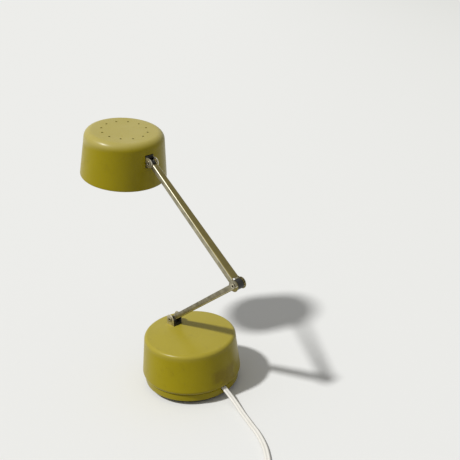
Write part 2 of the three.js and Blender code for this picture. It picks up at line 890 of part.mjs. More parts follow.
// ---- Arms ----
// A tapered U-channel along +X with its web on the -Z side. start and end hold, at each pin, the
// half-width over the flanges, the depth, the ear's radius and how far the web stops short.
function channelArm(length, start, end) {
  const bite = (pin) => Math.asin(pin.depth / 2 / pin.ear);
  const flange = new THREE.Shape();
  flange.absarc(0, 0, start.ear, bite(start), 2 * Math.PI - bite(start));
  flange.absarc(length, 0, end.ear, bite(end) - Math.PI, Math.PI - bite(end));
  flange.holes.push(circle(0, 0, PIN_HOLE), circle(length, 0, PIN_HOLE));
  const widen = Math.atan((end.halfWidth - start.halfWidth) / length);
  const near = sidePlate(flange, -start.halfWidth, -start.halfWidth + SHEET);
  const far = sidePlate(flange, start.halfWidth - SHEET, start.halfWidth);
  const at = (x, key) => start[key] + ((end[key] - start[key]) * x) / length;
  const from = start.webCut;
  const to = length - end.webCut;
  const web = new THREE.Shape();
  web.moveTo(from, -at(from, "halfWidth"));
  web.lineTo(to, -at(to, "halfWidth"));
  web.lineTo(to, at(to, "halfWidth"));
  web.lineTo(from, at(from, "halfWidth"));
  const deepen = Math.atan((end.depth - start.depth) / 2 / length);
  return join(
    near.rotateZ(-widen),
    far.rotateZ(widen),
    flatPlate(web, -start.depth / 2, -start.depth / 2 + SHEET).rotateY(deepen),
  );
}

// The insulated twin lead that lies along the inside of an arm's web.
function armLead(length, depth, from, to) {
  const low = -depth / 2 + SHEET + GAP + 0.2;
  return box(
    from,
    length - to,
    -LEAD.halfWidth,
    LEAD.halfWidth,
    low,
    low + LEAD.height,
  );
}

const lowerArm = new THREE.Group();
lowerArm.position.set(HINGE_X, 0, HINGE_Z);
lowerArm.rotation.y = -LOWER_ANGLE;
lamp.add(lowerArm);

const upperArm = new THREE.Group();
upperArm.position.set(
  HINGE_X + LOWER_LENGTH * Math.cos(LOWER_ANGLE),
  0,
  HINGE_Z + LOWER_LENGTH * Math.sin(LOWER_ANGLE),
);
upperArm.rotation.y = UPPER_ANGLE - Math.PI;
lamp.add(upperArm);

add(
  lowerArm,
  "lower_arm",
  channelArm(
    LOWER_LENGTH,
    {
      halfWidth: LOWER_HALF_WIDTH.base,
      depth: LOWER_DEPTH,
      ear: LOWER_EAR.base,
      webCut: END_WEB_CUT,
    },
    {
      halfWidth: LOWER_HALF_WIDTH.elbow,
      depth: LOWER_DEPTH,
      ear: LOWER_EAR.elbow,
      webCut: ELBOW_WEB_CUT,
    },
  ),
  "nickel",
);
add(
  lowerArm,
  "lower_arm_lead",
  armLead(LOWER_LENGTH, LOWER_DEPTH, LEAD.fromEnd, LEAD.fromElbow),
  "blackPlastic",
);
add(
  lowerArm,
  "base_bush",
  ringY(
    BUSH.base,
    PIN_HOLE,
    -LOWER_HALF_WIDTH.base + SHEET + GAP,
    LOWER_HALF_WIDTH.base - SHEET - GAP,
  ),
  "blackPlastic",
);
const elbowPins = new THREE.Group();
elbowPins.position.x = LOWER_LENGTH;
lowerArm.add(elbowPins);
pinSet(elbowPins, "elbow", LOWER_HALF_WIDTH.elbow + 0.1);

add(
  upperArm,
  "upper_arm",
  channelArm(
    UPPER_LENGTH,
    {
      halfWidth: UPPER_HALF_WIDTH.elbow,
      depth: UPPER_DEPTH.elbow,
      ear: UPPER_EAR.elbow,
      webCut: ELBOW_WEB_CUT,
    },
    {
      halfWidth: UPPER_HALF_WIDTH.head,
      depth: UPPER_DEPTH.head,
      ear: UPPER_EAR.head,
      webCut: END_WEB_CUT,
    },
  ),
  "nickel",
);
add(
  upperArm,
  "upper_arm_lead",
  armLead(UPPER_LENGTH, UPPER_DEPTH.head, LEAD.fromElbow, LEAD.fromEnd),
  "blackPlastic",
);
add(
  upperArm,
  "elbow_bush",
  ringY(
    BUSH.elbow,
    PIN_HOLE,
    -UPPER_HALF_WIDTH.elbow + SHEET + GAP,
    UPPER_HALF_WIDTH.elbow - SHEET - GAP,
  ),
  "blackPlastic",
);

// ---- Head ----
const head = new THREE.Group();
head.position.set(
  upperArm.position.x - UPPER_LENGTH * Math.cos(UPPER_ANGLE),
  0,
  upperArm.position.z + UPPER_LENGTH * Math.sin(UPPER_ANGLE),
);
head.rotation.y = HEAD_TILT;
lamp.add(head);

const rimZ = -HEAD_RIM_DROP;
const headTopZ = rimZ + HEAD_HEIGHT;
const headSlope = Math.atan(HEAD_TAPER / HEAD_HEIGHT);
const headRadiusAt = (z) => HEAD_RIM_RADIUS - (z - rimZ) * Math.tan(headSlope);
const headOffset = headRadiusAt(0) + HEAD_STANDOFF; // from the pin to the shade's axis

function headShade() {
  const roundZ = headTopZ - HEAD_ROUND;
  const roundCentre = headRadiusAt(roundZ) - HEAD_ROUND / Math.cos(headSlope);
  const innerRound = HEAD_ROUND - HEAD_WALL;
  const profile = new THREE.Path();
  profile.moveTo(0, headTopZ - HEAD_WALL);
  profile.lineTo(roundCentre, headTopZ - HEAD_WALL);
  profile.absarc(roundCentre, roundZ, innerRound, Math.PI / 2, headSlope, true);
  profile.lineTo(HEAD_RIM_RADIUS - HEAD_WALL, rimZ);
  profile.lineTo(HEAD_RIM_RADIUS, rimZ);
  profile.absarc(roundCentre, roundZ, HEAD_ROUND, headSlope, Math.PI / 2);
  profile.lineTo(0, headTopZ);
  const vents = [];
  for (let i = 0; i < VENT_COUNT; i++) {
    const angle = ((i + 0.5) * 2 * Math.PI) / VENT_COUNT;
    vents.push(
      rodZ(
        VENT_RADIUS,
        headTopZ - HEAD_WALL - 1,
        headTopZ + 1,
        VENT_RING * Math.cos(angle),
        VENT_RING * Math.sin(angle),
        8,
      ),
    );
  }
  const slot = box(
    headOffset - 9,
    headOffset + 2,
    -HEAD_SLOT.halfWidth - GAP,
    HEAD_SLOT.halfWidth + GAP,
    -HEAD_SLOT.halfHeight - GAP,
    HEAD_SLOT.halfHeight + GAP,
  );
  return cut(turned(profile), slot, ...vents);
}

const holderRadius = CAP_RADIUS + GAP + HOLDER_WALL;

// A white bell inside the shade: a conical skirt under an elliptical dome, open below, with a round
// hole for the lamp holder.
function reflector() {
  const lowZ = rimZ + BELL_INSET;
  const rim = headRadiusAt(lowZ) - HEAD_WALL - GAP;
  const waist = rim - BELL_WAIST.narrower;
  const waistZ = rimZ + BELL_WAIST.height;
  const dome = headTopZ - BELL_HEADROOM - waistZ;
  const profile = new THREE.Path();
  profile.moveTo(0, waistZ + dome - BELL_WALL);
  profile.absellipse(0, waistZ, waist - BELL_WALL, dome - BELL_WALL, Math.PI / 2, 0, true);
  profile.lineTo(rim - BELL_WALL, lowZ);
  profile.lineTo(rim, lowZ);
  profile.lineTo(waist, waistZ);
  profile.absellipse(0, waistZ, waist, dome, 0, Math.PI / 2);
  const holderHole = new THREE.CylinderGeometry(
    holderRadius + GAP,
    holderRadius + GAP,
    30,
    32,
  )
    .rotateZ(Math.PI / 2)
    .translate(headOffset - 20, 0, -BULB_DROP);
  return cut(turned(profile, 48, 6), holderHole);
}

function headBracket() {
  const inside = BRACKET_INSIDE;
  const outside = inside + SHEET;
  const ear = new THREE.Shape();
  ear.moveTo(-BRACKET_BACK, -BRACKET_EAR);
  ear.lineTo(0, -BRACKET_EAR);
  ear.absarc(0, 0, BRACKET_EAR, -Math.PI / 2, Math.PI / 2);
  ear.lineTo(-BRACKET_BACK, BRACKET_EAR);
  ear.holes.push(circle(0, 0, PIN_HOLE));
  const back = box(
    -BRACKET_BACK,
    -BRACKET_BACK + SHEET,
    -outside,
    outside,
    -BRACKET_EAR,
    BRACKET_EAR,
  );
  return join(
    sidePlate(ear, -outside, -inside),
    sidePlate(ear, inside, outside),
    back,
  );
}

// The insulating block that fills the shade's slot and carries the bracket through it.
function headInsulator() {
  const frontX = headRadiusAt(0) - headOffset + 0.4;
  const backX = -BRACKET_BACK + SHEET + GAP;
  const wallInside = headRadiusAt(0) - HEAD_WALL;
  const flangeHalfWidth = HEAD_SLOT.halfWidth + 2;
  const flangeHalfHeight = HEAD_SLOT.halfHeight + 1.6;
  const wallAbove = headRadiusAt(flangeHalfHeight) - HEAD_WALL - GAP;
  const flangeX = Math.sqrt(wallAbove ** 2 - flangeHalfWidth ** 2) - headOffset;
  const plug = box(
    flangeX - 0.1,
    Math.max(frontX, wallInside - headOffset),
    -HEAD_SLOT.halfWidth,
    HEAD_SLOT.halfWidth,
    -HEAD_SLOT.halfHeight,
    HEAD_SLOT.halfHeight,
  );
  const flange = box(
    backX,
    flangeX,
    -flangeHalfWidth,
    flangeHalfWidth,
    -flangeHalfHeight,
    flangeHalfHeight,
  );
  const earSlots = [-1, 1].map((side) => {
    const y0 = side * (BRACKET_INSIDE - GAP);
    const y1 = side * (BRACKET_INSIDE + SHEET + GAP);
    return box(
      backX - 1,
      frontX + 2,
      Math.min(y0, y1),
      Math.max(y0, y1),
      -BRACKET_EAR - GAP,
      BRACKET_EAR + GAP,
    );
  });
  return cut(join(plug, flange), ...earSlots);
}

add(head, "head_bracket", headBracket(), "nickel");
add(head, "head_insulator", headInsulator(), "blackPlastic");
pinSet(head, "head", BRACKET_INSIDE + SHEET);
add(
  upperArm,
  "head_bush",
  ringY(
    BUSH.head,
    PIN_HOLE,
    -UPPER_HALF_WIDTH.head + SHEET + GAP,
    UPPER_HALF_WIDTH.head - SHEET - GAP,
  ).translate(UPPER_LENGTH, 0, 0),
  "blackPlastic",
);

const shadeAxis = new THREE.Group();
shadeAxis.position.x = -headOffset;
head.add(shadeAxis);
add(shadeAxis, "head_shade", headShade(), "olive");
add(shadeAxis, "head_reflector", reflector(), "white");

// The holder, cap and bulb are turned about a level axis that runs in from the bracket. Their
// profiles are written with the height measured inwards from the head pin.
const bulbAxis = new THREE.Group();
bulbAxis.position.z = -BULB_DROP;
bulbAxis.rotation.y = -Math.PI / 2;
head.add(bulbAxis);

function lampHolder() {
  const back = BRACKET_BACK + GAP;
  const bore = CAP_RADIUS + GAP;
  const profile = new THREE.Path();
  profile.moveTo(0, back);
  profile.lineTo(holderRadius, back);
  profile.lineTo(holderRadius, HOLDER_FRONT);
  profile.lineTo(bore, HOLDER_FRONT);
  profile.lineTo(bore, HOLDER_FLOOR);
  profile.lineTo(0, HOLDER_FLOOR);
  return turned(profile, 32);
}

function holderContact() {
  const profile = new THREE.Path();
  profile.moveTo(0, HOLDER_FLOOR + GAP);
  profile.lineTo(2.6, HOLDER_FLOOR + GAP);
  profile.lineTo(2.6, HOLDER_FLOOR + 1.3);
  profile.lineTo(1.6, HOLDER_FLOOR + 1.3);
  profile.lineTo(1.6, CAP_END - 1.8 - GAP);
  profile.lineTo(0, CAP_END - 1.8 - GAP);
  return turned(profile, 16);
}

function bulbCap() {
  const profile = new THREE.Path();
  profile.moveTo(0, CAP_END - 1.8);
  profile.lineTo(2.2, CAP_END - 1.8);
  profile.lineTo(2.8, CAP_END - 0.6);
  profile.lineTo(CAP_RADIUS - 1, CAP_END);
  profile.lineTo(CAP_RADIUS, CAP_END + 1);
  profile.lineTo(CAP_RADIUS, CAP_NECK);
  profile.lineTo(CAP_RADIUS - CAP_WALL, CAP_NECK);
  profile.lineTo(CAP_RADIUS - CAP_WALL, CAP_END + 1.6);
  profile.lineTo(0, CAP_END + 1.6);
  return turned(profile, 32);
}

function bulbGlass() {
  const neck = CAP_RADIUS - CAP_WALL - GAP;
  const neckEnd = CAP_NECK - 4;
  const waist = Math.asin(neck / BULB_RADIUS);
  const innerRadius = BULB_RADIUS - BULB_WALL;
  const innerWaist = Math.asin((neck - BULB_WALL) / innerRadius);
  const profile = new THREE.Path();
  profile.moveTo(neck - BULB_WALL, neckEnd);
  profile.lineTo(neck, neckEnd);
  profile.absarc(
    0,
    BULB_CENTRE,
    BULB_RADIUS,
    waist - Math.PI / 2,
    Math.PI / 2,
  );
  profile.lineTo(0, BULB_CENTRE + innerRadius);
  profile.absarc(
    0,
    BULB_CENTRE,
    innerRadius,
    Math.PI / 2,
    innerWaist - Math.PI / 2,
    true,
  );
  profile.lineTo(neck - BULB_WALL, neckEnd);
  return turned(profile, 24, 4);
}

// Two support wires on a glass bead, with the filament bridging them.
function bulbFilament() {
  const bead = rodZ(2.2, CAP_NECK - 2, CAP_NECK + 3, 0, 0, 12);
  const supports = [-1, 1].map((side) =>
    rodZ(0.35, CAP_NECK + 2.5, BULB_CENTRE + 2.3, side * 1.8, 0, 6),
  );
  const coil = new THREE.CylinderGeometry(0.45, 0.45, 4.4, 8)
    .rotateZ(Math.PI / 2)
    .translate(0, 0, BULB_CENTRE + 2);
  return join(bead, ...supports, coil).rotateZ(Math.PI / 2);
}

add(bulbAxis, "lamp_holder", lampHolder(), "nylon");
add(bulbAxis, "holder_contact", holderContact(), "brass");
add(bulbAxis, "bulb_cap", bulbCap(), "brass");
add(bulbAxis, "bulb_glass", bulbGlass(), "glass");
add(bulbAxis, "bulb_filament", bulbFilament(), "tungsten");

// ---- Mains cord ----
// A flat oval section of the flex, wide across the route and thin upwards.
function flexSection() {
  const round = CORD_THICK / 2;
  const half = CORD_WIDTH / 2 - round;
  const section = new THREE.Shape();
  section.absarc(0, half, round, 0, Math.PI);
  section.absarc(0, -half, round, Math.PI, 2 * Math.PI);
  return section;
}

function mainsCord() {
  const stops = [...CORD_DROP, ...CORD_RUN].map(
    ({ x, y, z = CORD_REST_Z }) => new THREE.Vector3(SEAM_RADIUS + x, y, z),
  );
  const route = new THREE.CatmullRomCurve3(stops, false, "centripetal");
  return new THREE.ExtrudeGeometry(flexSection(), {
    steps: 48,
    curveSegments: 4,
    extrudePath: route,
  });
}

function cordCoil() {
  const profile = new THREE.Path();
  const round = 1.2;
  profile.moveTo(COIL_INNER, round);
  profile.lineTo(COIL_INNER + round, 0.2);
  profile.lineTo(COIL_OUTER - round, 0.2);
  profile.lineTo(COIL_OUTER, round);
  profile.lineTo(COIL_OUTER, COIL_HEIGHT - round);
  profile.lineTo(COIL_OUTER - round, COIL_HEIGHT);
  profile.lineTo(COIL_INNER + round, COIL_HEIGHT);
  profile.lineTo(COIL_INNER, COIL_HEIGHT - round);
  profile.lineTo(COIL_INNER, round);
  return turned(profile);
}

// A wire tie: a rounded loop that stands round the coil's section.
function cordTie() {
  const out = GAP;
  const { thick, halfWidth: half } = TIE;
  const outline = rectangle(
    COIL_INNER - out - thick,
    COIL_OUTER + out + thick,
    0,
    COIL_HEIGHT + out + thick,
    2.4,
  );
  outline.holes.push(
    rectangle(COIL_INNER - out, COIL_OUTER + out, 0.1, COIL_HEIGHT + out, 1.4),
  );
  return sidePlate(outline, -half, half, 4);
}

// The moulded flat plug: its blades point along +X from the face at x = 0.
function plugBody() {
  const half = PLUG.width / 2;
  const outline = new THREE.Shape();
  outline.moveTo(0, -half + 2);
  outline.lineTo(0, half - 2);
  outline.quadraticCurveTo(0, half, -2, half);
  outline.lineTo(-PLUG.length * 0.55, half);
  outline.quadraticCurveTo(
    -PLUG.length * 0.85,
    half,
    -PLUG.length,
    CORD_WIDTH / 2 + 1,
  );
  outline.lineTo(-PLUG.length - PLUG.tail, CORD_WIDTH / 2 + 0.6);
  outline.lineTo(-PLUG.length - PLUG.tail, -CORD_WIDTH / 2 - 0.6);
  outline.lineTo(-PLUG.length, -CORD_WIDTH / 2 - 1);
  outline.quadraticCurveTo(-PLUG.length * 0.85, -half, -PLUG.length * 0.55, -half);
  outline.lineTo(-2, -half);
  outline.quadraticCurveTo(0, -half, 0, -half + 2);
  const slots = [-1, 1].map((side) =>
    box(
      -BLADE.set,
      1,
      side * (BLADE.spacing / 2) - BLADE.thick / 2 - GAP,
      side * (BLADE.spacing / 2) + BLADE.thick / 2 + GAP,
      PLUG.depth / 2 - BLADE.width / 2 - GAP,
      PLUG.depth / 2 + BLADE.width / 2 + GAP,
    ),
  );
  return cut(flatPlate(outline, 0, PLUG.depth), ...slots);
}

function plugBlade(side) {
  const outline = new THREE.Shape();
  const half = BLADE.width / 2;
  outline.moveTo(-BLADE.set + GAP, -half);
  outline.lineTo(BLADE.length - 2, -half);
  outline.quadraticCurveTo(BLADE.length, -half, BLADE.length, 0);
  outline.quadraticCurveTo(BLADE.length, half, BLADE.length - 2, half);
  outline.lineTo(-BLADE.set + GAP, half);
  outline.holes.push(circle(BLADE.length - 4, 0, BLADE.hole));
  const y = side * (BLADE.spacing / 2);
  return sidePlate(outline, y - BLADE.thick / 2, y + BLADE.thick / 2, 6).translate(
    0,
    0,
    PLUG.depth / 2,
  );
}

const coil = new THREE.Group();
coil.position.set(COIL_CENTRE.x, COIL_CENTRE.y, 0);
lamp.add(coil);
add(lamp, "mains_cord", mainsCord(), "ivoryFlex");
add(coil, "cord_coil", cordCoil(), "ivoryFlex");
const tie = add(coil, "cord_tie", cordTie(), "blackPlastic");
tie.rotation.z = TIE_ANGLE;

const plug = new THREE.Group();
plug.position.set(PLUG_OFFSET.along, -PLUG_OFFSET.across, 0);
const plugPlace = new THREE.Group();
plugPlace.position.set(COIL_CENTRE.x, COIL_CENTRE.y, 0.2);
plugPlace.rotation.z = PLUG_ANGLE;
plugPlace.add(plug);
lamp.add(plugPlace);
add(plug, "plug_body", plugBody(), "ivoryFlex");
add(plug, "plug_blade_1", plugBlade(-1), "nickel");
add(plug, "plug_blade_2", plugBlade(1), "nickel");

export default lamp;
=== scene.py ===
"""A folding low-voltage desk lamp: drum base, two tapered channel arms and a drum shade."""

import json
import math

import bmesh
import bpy
import numpy as np
from mathutils import Matrix, Vector

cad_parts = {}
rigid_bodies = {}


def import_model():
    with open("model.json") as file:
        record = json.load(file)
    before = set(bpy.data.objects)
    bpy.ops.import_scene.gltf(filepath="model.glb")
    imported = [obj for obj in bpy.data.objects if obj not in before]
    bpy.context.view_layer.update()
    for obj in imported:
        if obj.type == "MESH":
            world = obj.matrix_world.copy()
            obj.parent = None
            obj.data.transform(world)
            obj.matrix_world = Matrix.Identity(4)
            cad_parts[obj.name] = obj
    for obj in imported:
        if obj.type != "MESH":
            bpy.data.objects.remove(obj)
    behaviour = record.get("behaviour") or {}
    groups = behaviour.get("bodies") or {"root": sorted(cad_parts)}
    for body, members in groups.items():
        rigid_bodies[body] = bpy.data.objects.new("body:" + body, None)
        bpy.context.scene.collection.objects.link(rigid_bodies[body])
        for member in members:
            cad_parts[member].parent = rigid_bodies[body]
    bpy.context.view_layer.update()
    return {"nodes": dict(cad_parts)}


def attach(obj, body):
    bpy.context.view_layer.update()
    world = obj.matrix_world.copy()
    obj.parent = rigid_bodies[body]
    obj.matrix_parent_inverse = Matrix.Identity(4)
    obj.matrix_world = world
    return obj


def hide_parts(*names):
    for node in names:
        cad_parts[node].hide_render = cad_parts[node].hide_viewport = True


for leftover in list(bpy.data.objects):
    bpy.data.objects.remove(leftover)
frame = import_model()
MM = 0.001

# ---- Camera ----
# It stands to the front right of the lamp, a little above it, and looks down on the base. The
# three vectors are its own right, up and back directions.
camera_data = bpy.data.cameras.new("camera")
camera_data.sensor_width = 36
camera_data.lens = 54.78
camera_data.clip_end = 60
camera = bpy.data.objects.new("camera", camera_data)
bpy.context.scene.collection.objects.link(camera)
camera_right = Vector((0.69054, 0.72276, -0.02757))
camera_up = Vector((-0.25901, 0.28270, 0.92358))
camera_back = Vector((0.67532, -0.63063, 0.38242))
camera.matrix_world = Matrix.Translation((0.50354, -0.40749, 0.44059)) @ Matrix(
    (camera_right, camera_up, camera_back)
).transposed().to_4x4()
bpy.context.scene.camera = camera


# ---- Mains cord ----
# Flat twin flex in ivory vinyl, two lobes with a groove between. It leaves the seam of the base,
# drops to the table, and is stored as a coil of two layers with its plug beside it.
class Varying:
    """A number that changes over a surface. Arithmetic on it adds Math nodes."""

    def __init__(self, finish, socket):
        self.finish, self.socket = finish, socket

    def _math(self, operation, first, second=0.0):
        return self.finish.node("Math", {"operation": operation}, {0: first, 1: second})

    def __add__(self, other):
        return self._math("ADD", self, other)

    def __radd__(self, other):
        return self._math("ADD", other, self)

    def __sub__(self, other):
        return self._math("SUBTRACT", self, other)

    def __rsub__(self, other):
        return self._math("SUBTRACT", other, self)

    def __mul__(self, other):
        return self._math("MULTIPLY", self, other)

    def __rmul__(self, other):
        return self._math("MULTIPLY", other, self)


class Finish:
    """A material being made. The words given at the start are whole-surface numbers."""

    def __init__(self, name, **whole):
        self.material = bpy.data.materials.new(name)
        self.material.use_nodes = True
        self.tree = self.material.node_tree
        self.shader = self.tree.nodes["Principled BSDF"]
        for key, value in whole.items():
            self.shader.inputs[key.replace("_", " ")].default_value = value

    def node(self, kind, settings=None, inputs=None, output=0):
        """Adds one node: its settings first, then the value or link of each named socket."""
        made = self.tree.nodes.new("ShaderNode" + kind)
        for key, value in (settings or {}).items():
            if key == "stops":
                ramp = made.color_ramp
                while len(ramp.elements) < len(value):
                    ramp.elements.new(0.5)
                for element, (place, shade) in zip(ramp.elements, value):
                    element.position = place
                    element.color = (shade, shade, shade, 1)
            else:
                setattr(made, key, value)
        for key, value in (inputs or {}).items():
            self.feed(made.inputs[key], value)
        return Varying(self, made.outputs[output])

    def feed(self, socket, value):
        if isinstance(value, Varying):
            self.tree.links.new(value.socket, socket)
        else:
            socket.default_value = value

    def coordinates(self, turn=(0, 0, 0), stretch=(1, 1, 1), shift=(0, 0, 0)):
        """Object coordinates, stretched, turned and then shifted."""
        place = self.node("TexCoord", output=3)
        return self.node(
            "Mapping",
            inputs={"Vector": place, "Location": shift, "Rotation": turn, "Scale": stretch},
        )

    def along(self, vector, axis):
        """One component of a vector, in millimetres: 0, 1 or 2 for X, Y or Z."""
        return self.node("SeparateXYZ", inputs={"Vector": vector}, output=axis) * 1000

    def band(self, value, low, high):
        """0 below the low value, 1 above the high one, and smooth between them."""
        return self.node(
            "MapRange",
            {"interpolation_type": "SMOOTHSTEP"},
            {"Value": value, "From Min": low, "From Max": high},
        )

    def noise(self, scale, detail=3.0, roughness=0.5, vector=None):
        """Smooth noise from 0 to 1, `scale` lumps to the metre."""
        return self.node(
            "TexNoise",
            inputs={
                "Vector": vector or self.coordinates(),
                "Scale": scale,
                "Detail": detail,
                "Roughness": roughness,
            },
        )

    def steps(self, value, stops):
        """The value read through a grey ramp."""
        return self.node("ValToRGB", {"stops": stops}, {"Fac": value})

    def blend(self, factor, first, second):
        """One colour over another by the factor."""
        return self.node(
            "Mix",
            {"data_type": "RGBA"},
            {0: factor, 6: first, 7: second},
            output=2,
        )

    def colour(self, value):
        self.feed(self.shader.inputs["Base Color"], value)

    def rough(self, value):
        self.feed(self.shader.inputs["Roughness"], value)

    def bump(self, height, strength=0.3, distance=0.1 * MM):
        made = self.node(
            "Bump",
            inputs={"Strength": strength, "Distance": distance, "Height": height},
        )
        self.feed(self.shader.inputs["Normal"], made)


def flex_vinyl():
    """Ivory vinyl: slightly yellowed in clouds, with faint scuffs."""
    f = Finish("ivory_flex", Specular_IOR_Level=0.5)
    clouds = f.noise(45, 4)
    dirt = f.steps(f.noise(420, 5, 0.65), [(0.52, 0), (0.75, 1)])
    ivory = f.blend(clouds, (0.83, 0.80, 0.72, 1), (0.87, 0.85, 0.80, 1))
    f.colour(f.blend(dirt * 0.25, ivory, (0.52, 0.48, 0.38, 1)))
    f.rough(0.34 + 0.16 * f.noise(300, 3))
    f.bump(f.noise(900, 3) + 0.5 * f.noise(160, 2), 0.25, 0.06 * MM)
    return f.material


def ring_faces(rings, caps=True, first=0):
    """Faces that join each ring of points to the next and wrap round, as point numbers from the
    first. Caps close both ends."""
    count, around = rings.shape[:2]
    index = first + np.arange(count * around).reshape(count, around)
    along = np.concatenate([index, index[:, :1]], axis=1)
    sides = np.stack(
        [along[:-1, :-1], along[:-1, 1:], along[1:, 1:], along[1:, :-1]], axis=-1
    ).reshape(-1, 4)
    ends = [index[0, ::-1].tolist(), index[-1].tolist()] if caps else []
    return sides.tolist() + ends


def grid_mesh(name, rings, material, caps=True, sharp=35):
    """A surface through rings of points, shape (rings, points, 3) in metres, each ring joined to
    the next. Rings turn anticlockwise about the way they advance, so that faces point outwards."""
    mesh = bpy.data.meshes.new(name)
    mesh.from_pydata(rings.reshape(-1, 3), [], ring_faces(rings, caps))
    return finished(name, mesh, material, sharp)


def finished(name, mesh, material, sharp=35):
    """The mesh as an object at the origin: doubles merged, faces outwards, smooth but for edges
    sharper than the angle."""
    work = bmesh.new()
    work.from_mesh(mesh)
    bmesh.ops.remove_doubles(work, verts=work.verts, dist=1e-6)
    bmesh.ops.dissolve_degenerate(work, edges=work.edges, dist=1e-7)
    bmesh.ops.recalc_face_normals(work, faces=work.faces)
    work.to_mesh(mesh)
    work.free()
    mesh.shade_smooth()
    mesh.set_sharp_from_angle(angle=math.radians(sharp))
    mesh.materials.clear()
    mesh.materials.append(material)
    piece = bpy.data.objects.new(name, mesh)
    bpy.context.scene.collection.objects.link(piece)
    return piece


def place_piece(piece, body, slot, *nodes):
    """The piece stands for its CAD nodes, which it hides, and rides on their body. The slot is not
    used.
    """
    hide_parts(*nodes)
    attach(piece, body)
    return piece


def smooth_line(points, per_span):
    """A centripetal Catmull-Rom curve through the points, with as many steps in each span."""
    p = np.vstack([2 * points[0] - points[1], points, 2 * points[-1] - points[-2]])
    gaps = np.sqrt(np.linalg.norm(np.diff(p, axis=0), axis=1))
    t = np.linspace(0, 1, per_span, endpoint=False)[None, :, None]
    g0, g1, g2 = (g[:, None, None] for g in (gaps[:-2], gaps[1:-1], gaps[2:]))
    a, b, c, d = (q[:, None] for q in (p[:-3], p[1:-2], p[2:-1], p[3:]))
    m1 = ((b - a) / g0 - (c - a) / (g0 + g1) + (c - b) / g1) * g1
    m2 = ((c - b) / g1 - (d - b) / (g1 + g2) + (d - c) / g2) * g1
    curve = (
        (2 * t**3 - 3 * t**2 + 1) * b
        + (t**3 - 2 * t**2 + t) * m1
        + (3 * t**2 - 2 * t**3) * c
        + (t**3 - t**2) * m2
    )
    return np.vstack([curve.reshape(-1, 3), points[-1]])


def ease(x):
    """A smooth step from 0 to 1."""
    x = np.clip(x, 0, 1)
    return x * x * (3 - 2 * x)


on_table = 1.7  # height of the flex's middle where it lies flat
cord_run = smooth_line(
    np.array(
        [
            (38.6, 0, 12),
            (42, 0, 12),
            (46, 0, 12),
            (50.6, -0.1, 11.7),
            (54.6, -0.4, 10.2),
            (59, -0.6, 8.1),
            (64.3, -1.1, 5.7),
            (70.8, -2.4, 3.7),
            (78, -4.6, 2.4),
            (86, -7.5, 1.8),
            (95.5, -10.9, on_table),
            (105, -14.4, on_table),
            (116, -18.2, on_table),
            (127.4, -23.4, on_table),
            (139, -30.2, on_table),
            (153.5, -41.9, on_table),
            (166.3, -55.8, on_table),
            (178.4, -70.5, on_table),
            (191, -84.6, on_table),
            (205.2, -96.9, on_table),
        ]
    ),
    8,
)
coil_centre = np.array([230.4, -61.0])
columns = 5
layer_low, layer_high = 3.1, 8.85
radii = 38.5 - 2.87 * np.arange(columns)
arrival, jog = 235.0, 36.0
leave = 360.0 * 9
turn = np.arange(arrival + 4, leave + 0.1, 4.0)
lap = np.floor((turn - arrival) / 360).astype(int)
step = ease(((turn - arrival) % 360) / jog)
lap_radius = np.concatenate([[43.2], radii, radii[::-1]])
coil_radius = lap_radius[lap] + (lap_radius[lap + 1] - lap_radius[lap]) * step
rise = ease((turn - arrival - 360 * columns) / jog)
arrive = ease((turn - arrival) / jog)
coil_z = on_table + (layer_low - on_table) * arrive + (layer_high - layer_low) * rise
angle = np.radians(turn)
coil_line = np.stack(
    [
        coil_centre[0] + coil_radius * np.cos(angle),
        coil_centre[1] + coil_radius * np.sin(angle),
        coil_z,
    ],
    axis=1,
)
leaving = np.array([-np.sin(angle[-1]), np.cos(angle[-1]), 0])
strand = np.linspace(0, 1, 8)[1:, None]
to_plug = 25.6
cord_end = coil_line[-1] + strand * to_plug * leaving
cord_end[:, 2] -= 1.1 * ease(strand[:, 0])
cord_line = np.vstack([cord_run, coil_line, cord_end])
# The flex lies flat on the table, and stands on edge once it is wound.
tangent = np.gradient(cord_line, axis=0)
tangent /= np.linalg.norm(tangent, axis=1)[:, None]
level = np.cross([0, 0, 1], tangent)
level /= np.linalg.norm(level, axis=1)[:, None]
upward = np.cross(tangent, level)
travel = np.concatenate(
    [[0], np.cumsum(np.linalg.norm(np.diff(cord_line, axis=0), axis=1))]
)
twist = (math.pi / 2) * ease((travel - travel[len(cord_run) - 1] + 24) / 40)
wide = level * np.cos(twist)[:, None] + upward * np.sin(twist)[:, None]
thin = upward * np.cos(twist)[:, None] - level * np.sin(twist)[:, None]
lift = 1.4 * np.abs(np.sin(twist)) * (1 - ease((travel - travel[len(cord_run)]) / 20))
cord_line[:, 2] += lift * (cord_line[:, 2] < layer_low)
round_about = np.linspace(0, 2 * math.pi, 28, endpoint=False)
lobe_r, groove_half = 1.4, 1.02
across = 2 * lobe_r * np.cos(round_about)
lobe = np.sqrt(np.clip(lobe_r**2 - (np.abs(across) - lobe_r) ** 2, 0, None))
groove = np.maximum(lobe, groove_half * (np.abs(across) < lobe_r))
height = groove * np.sign(np.sin(round_about))
cord_rings = (
    cord_line[:, None]
    + across[None, :, None] * wide[:, None]
    + height[None, :, None] * thin[:, None]
)
ivory_vinyl = flex_vinyl()
cord = grid_mesh("mains_flex", cord_rings * MM, ivory_vinyl, sharp=80)
place_piece(cord, "base", "ivory_flex", "mains_cord", "cord_coil")
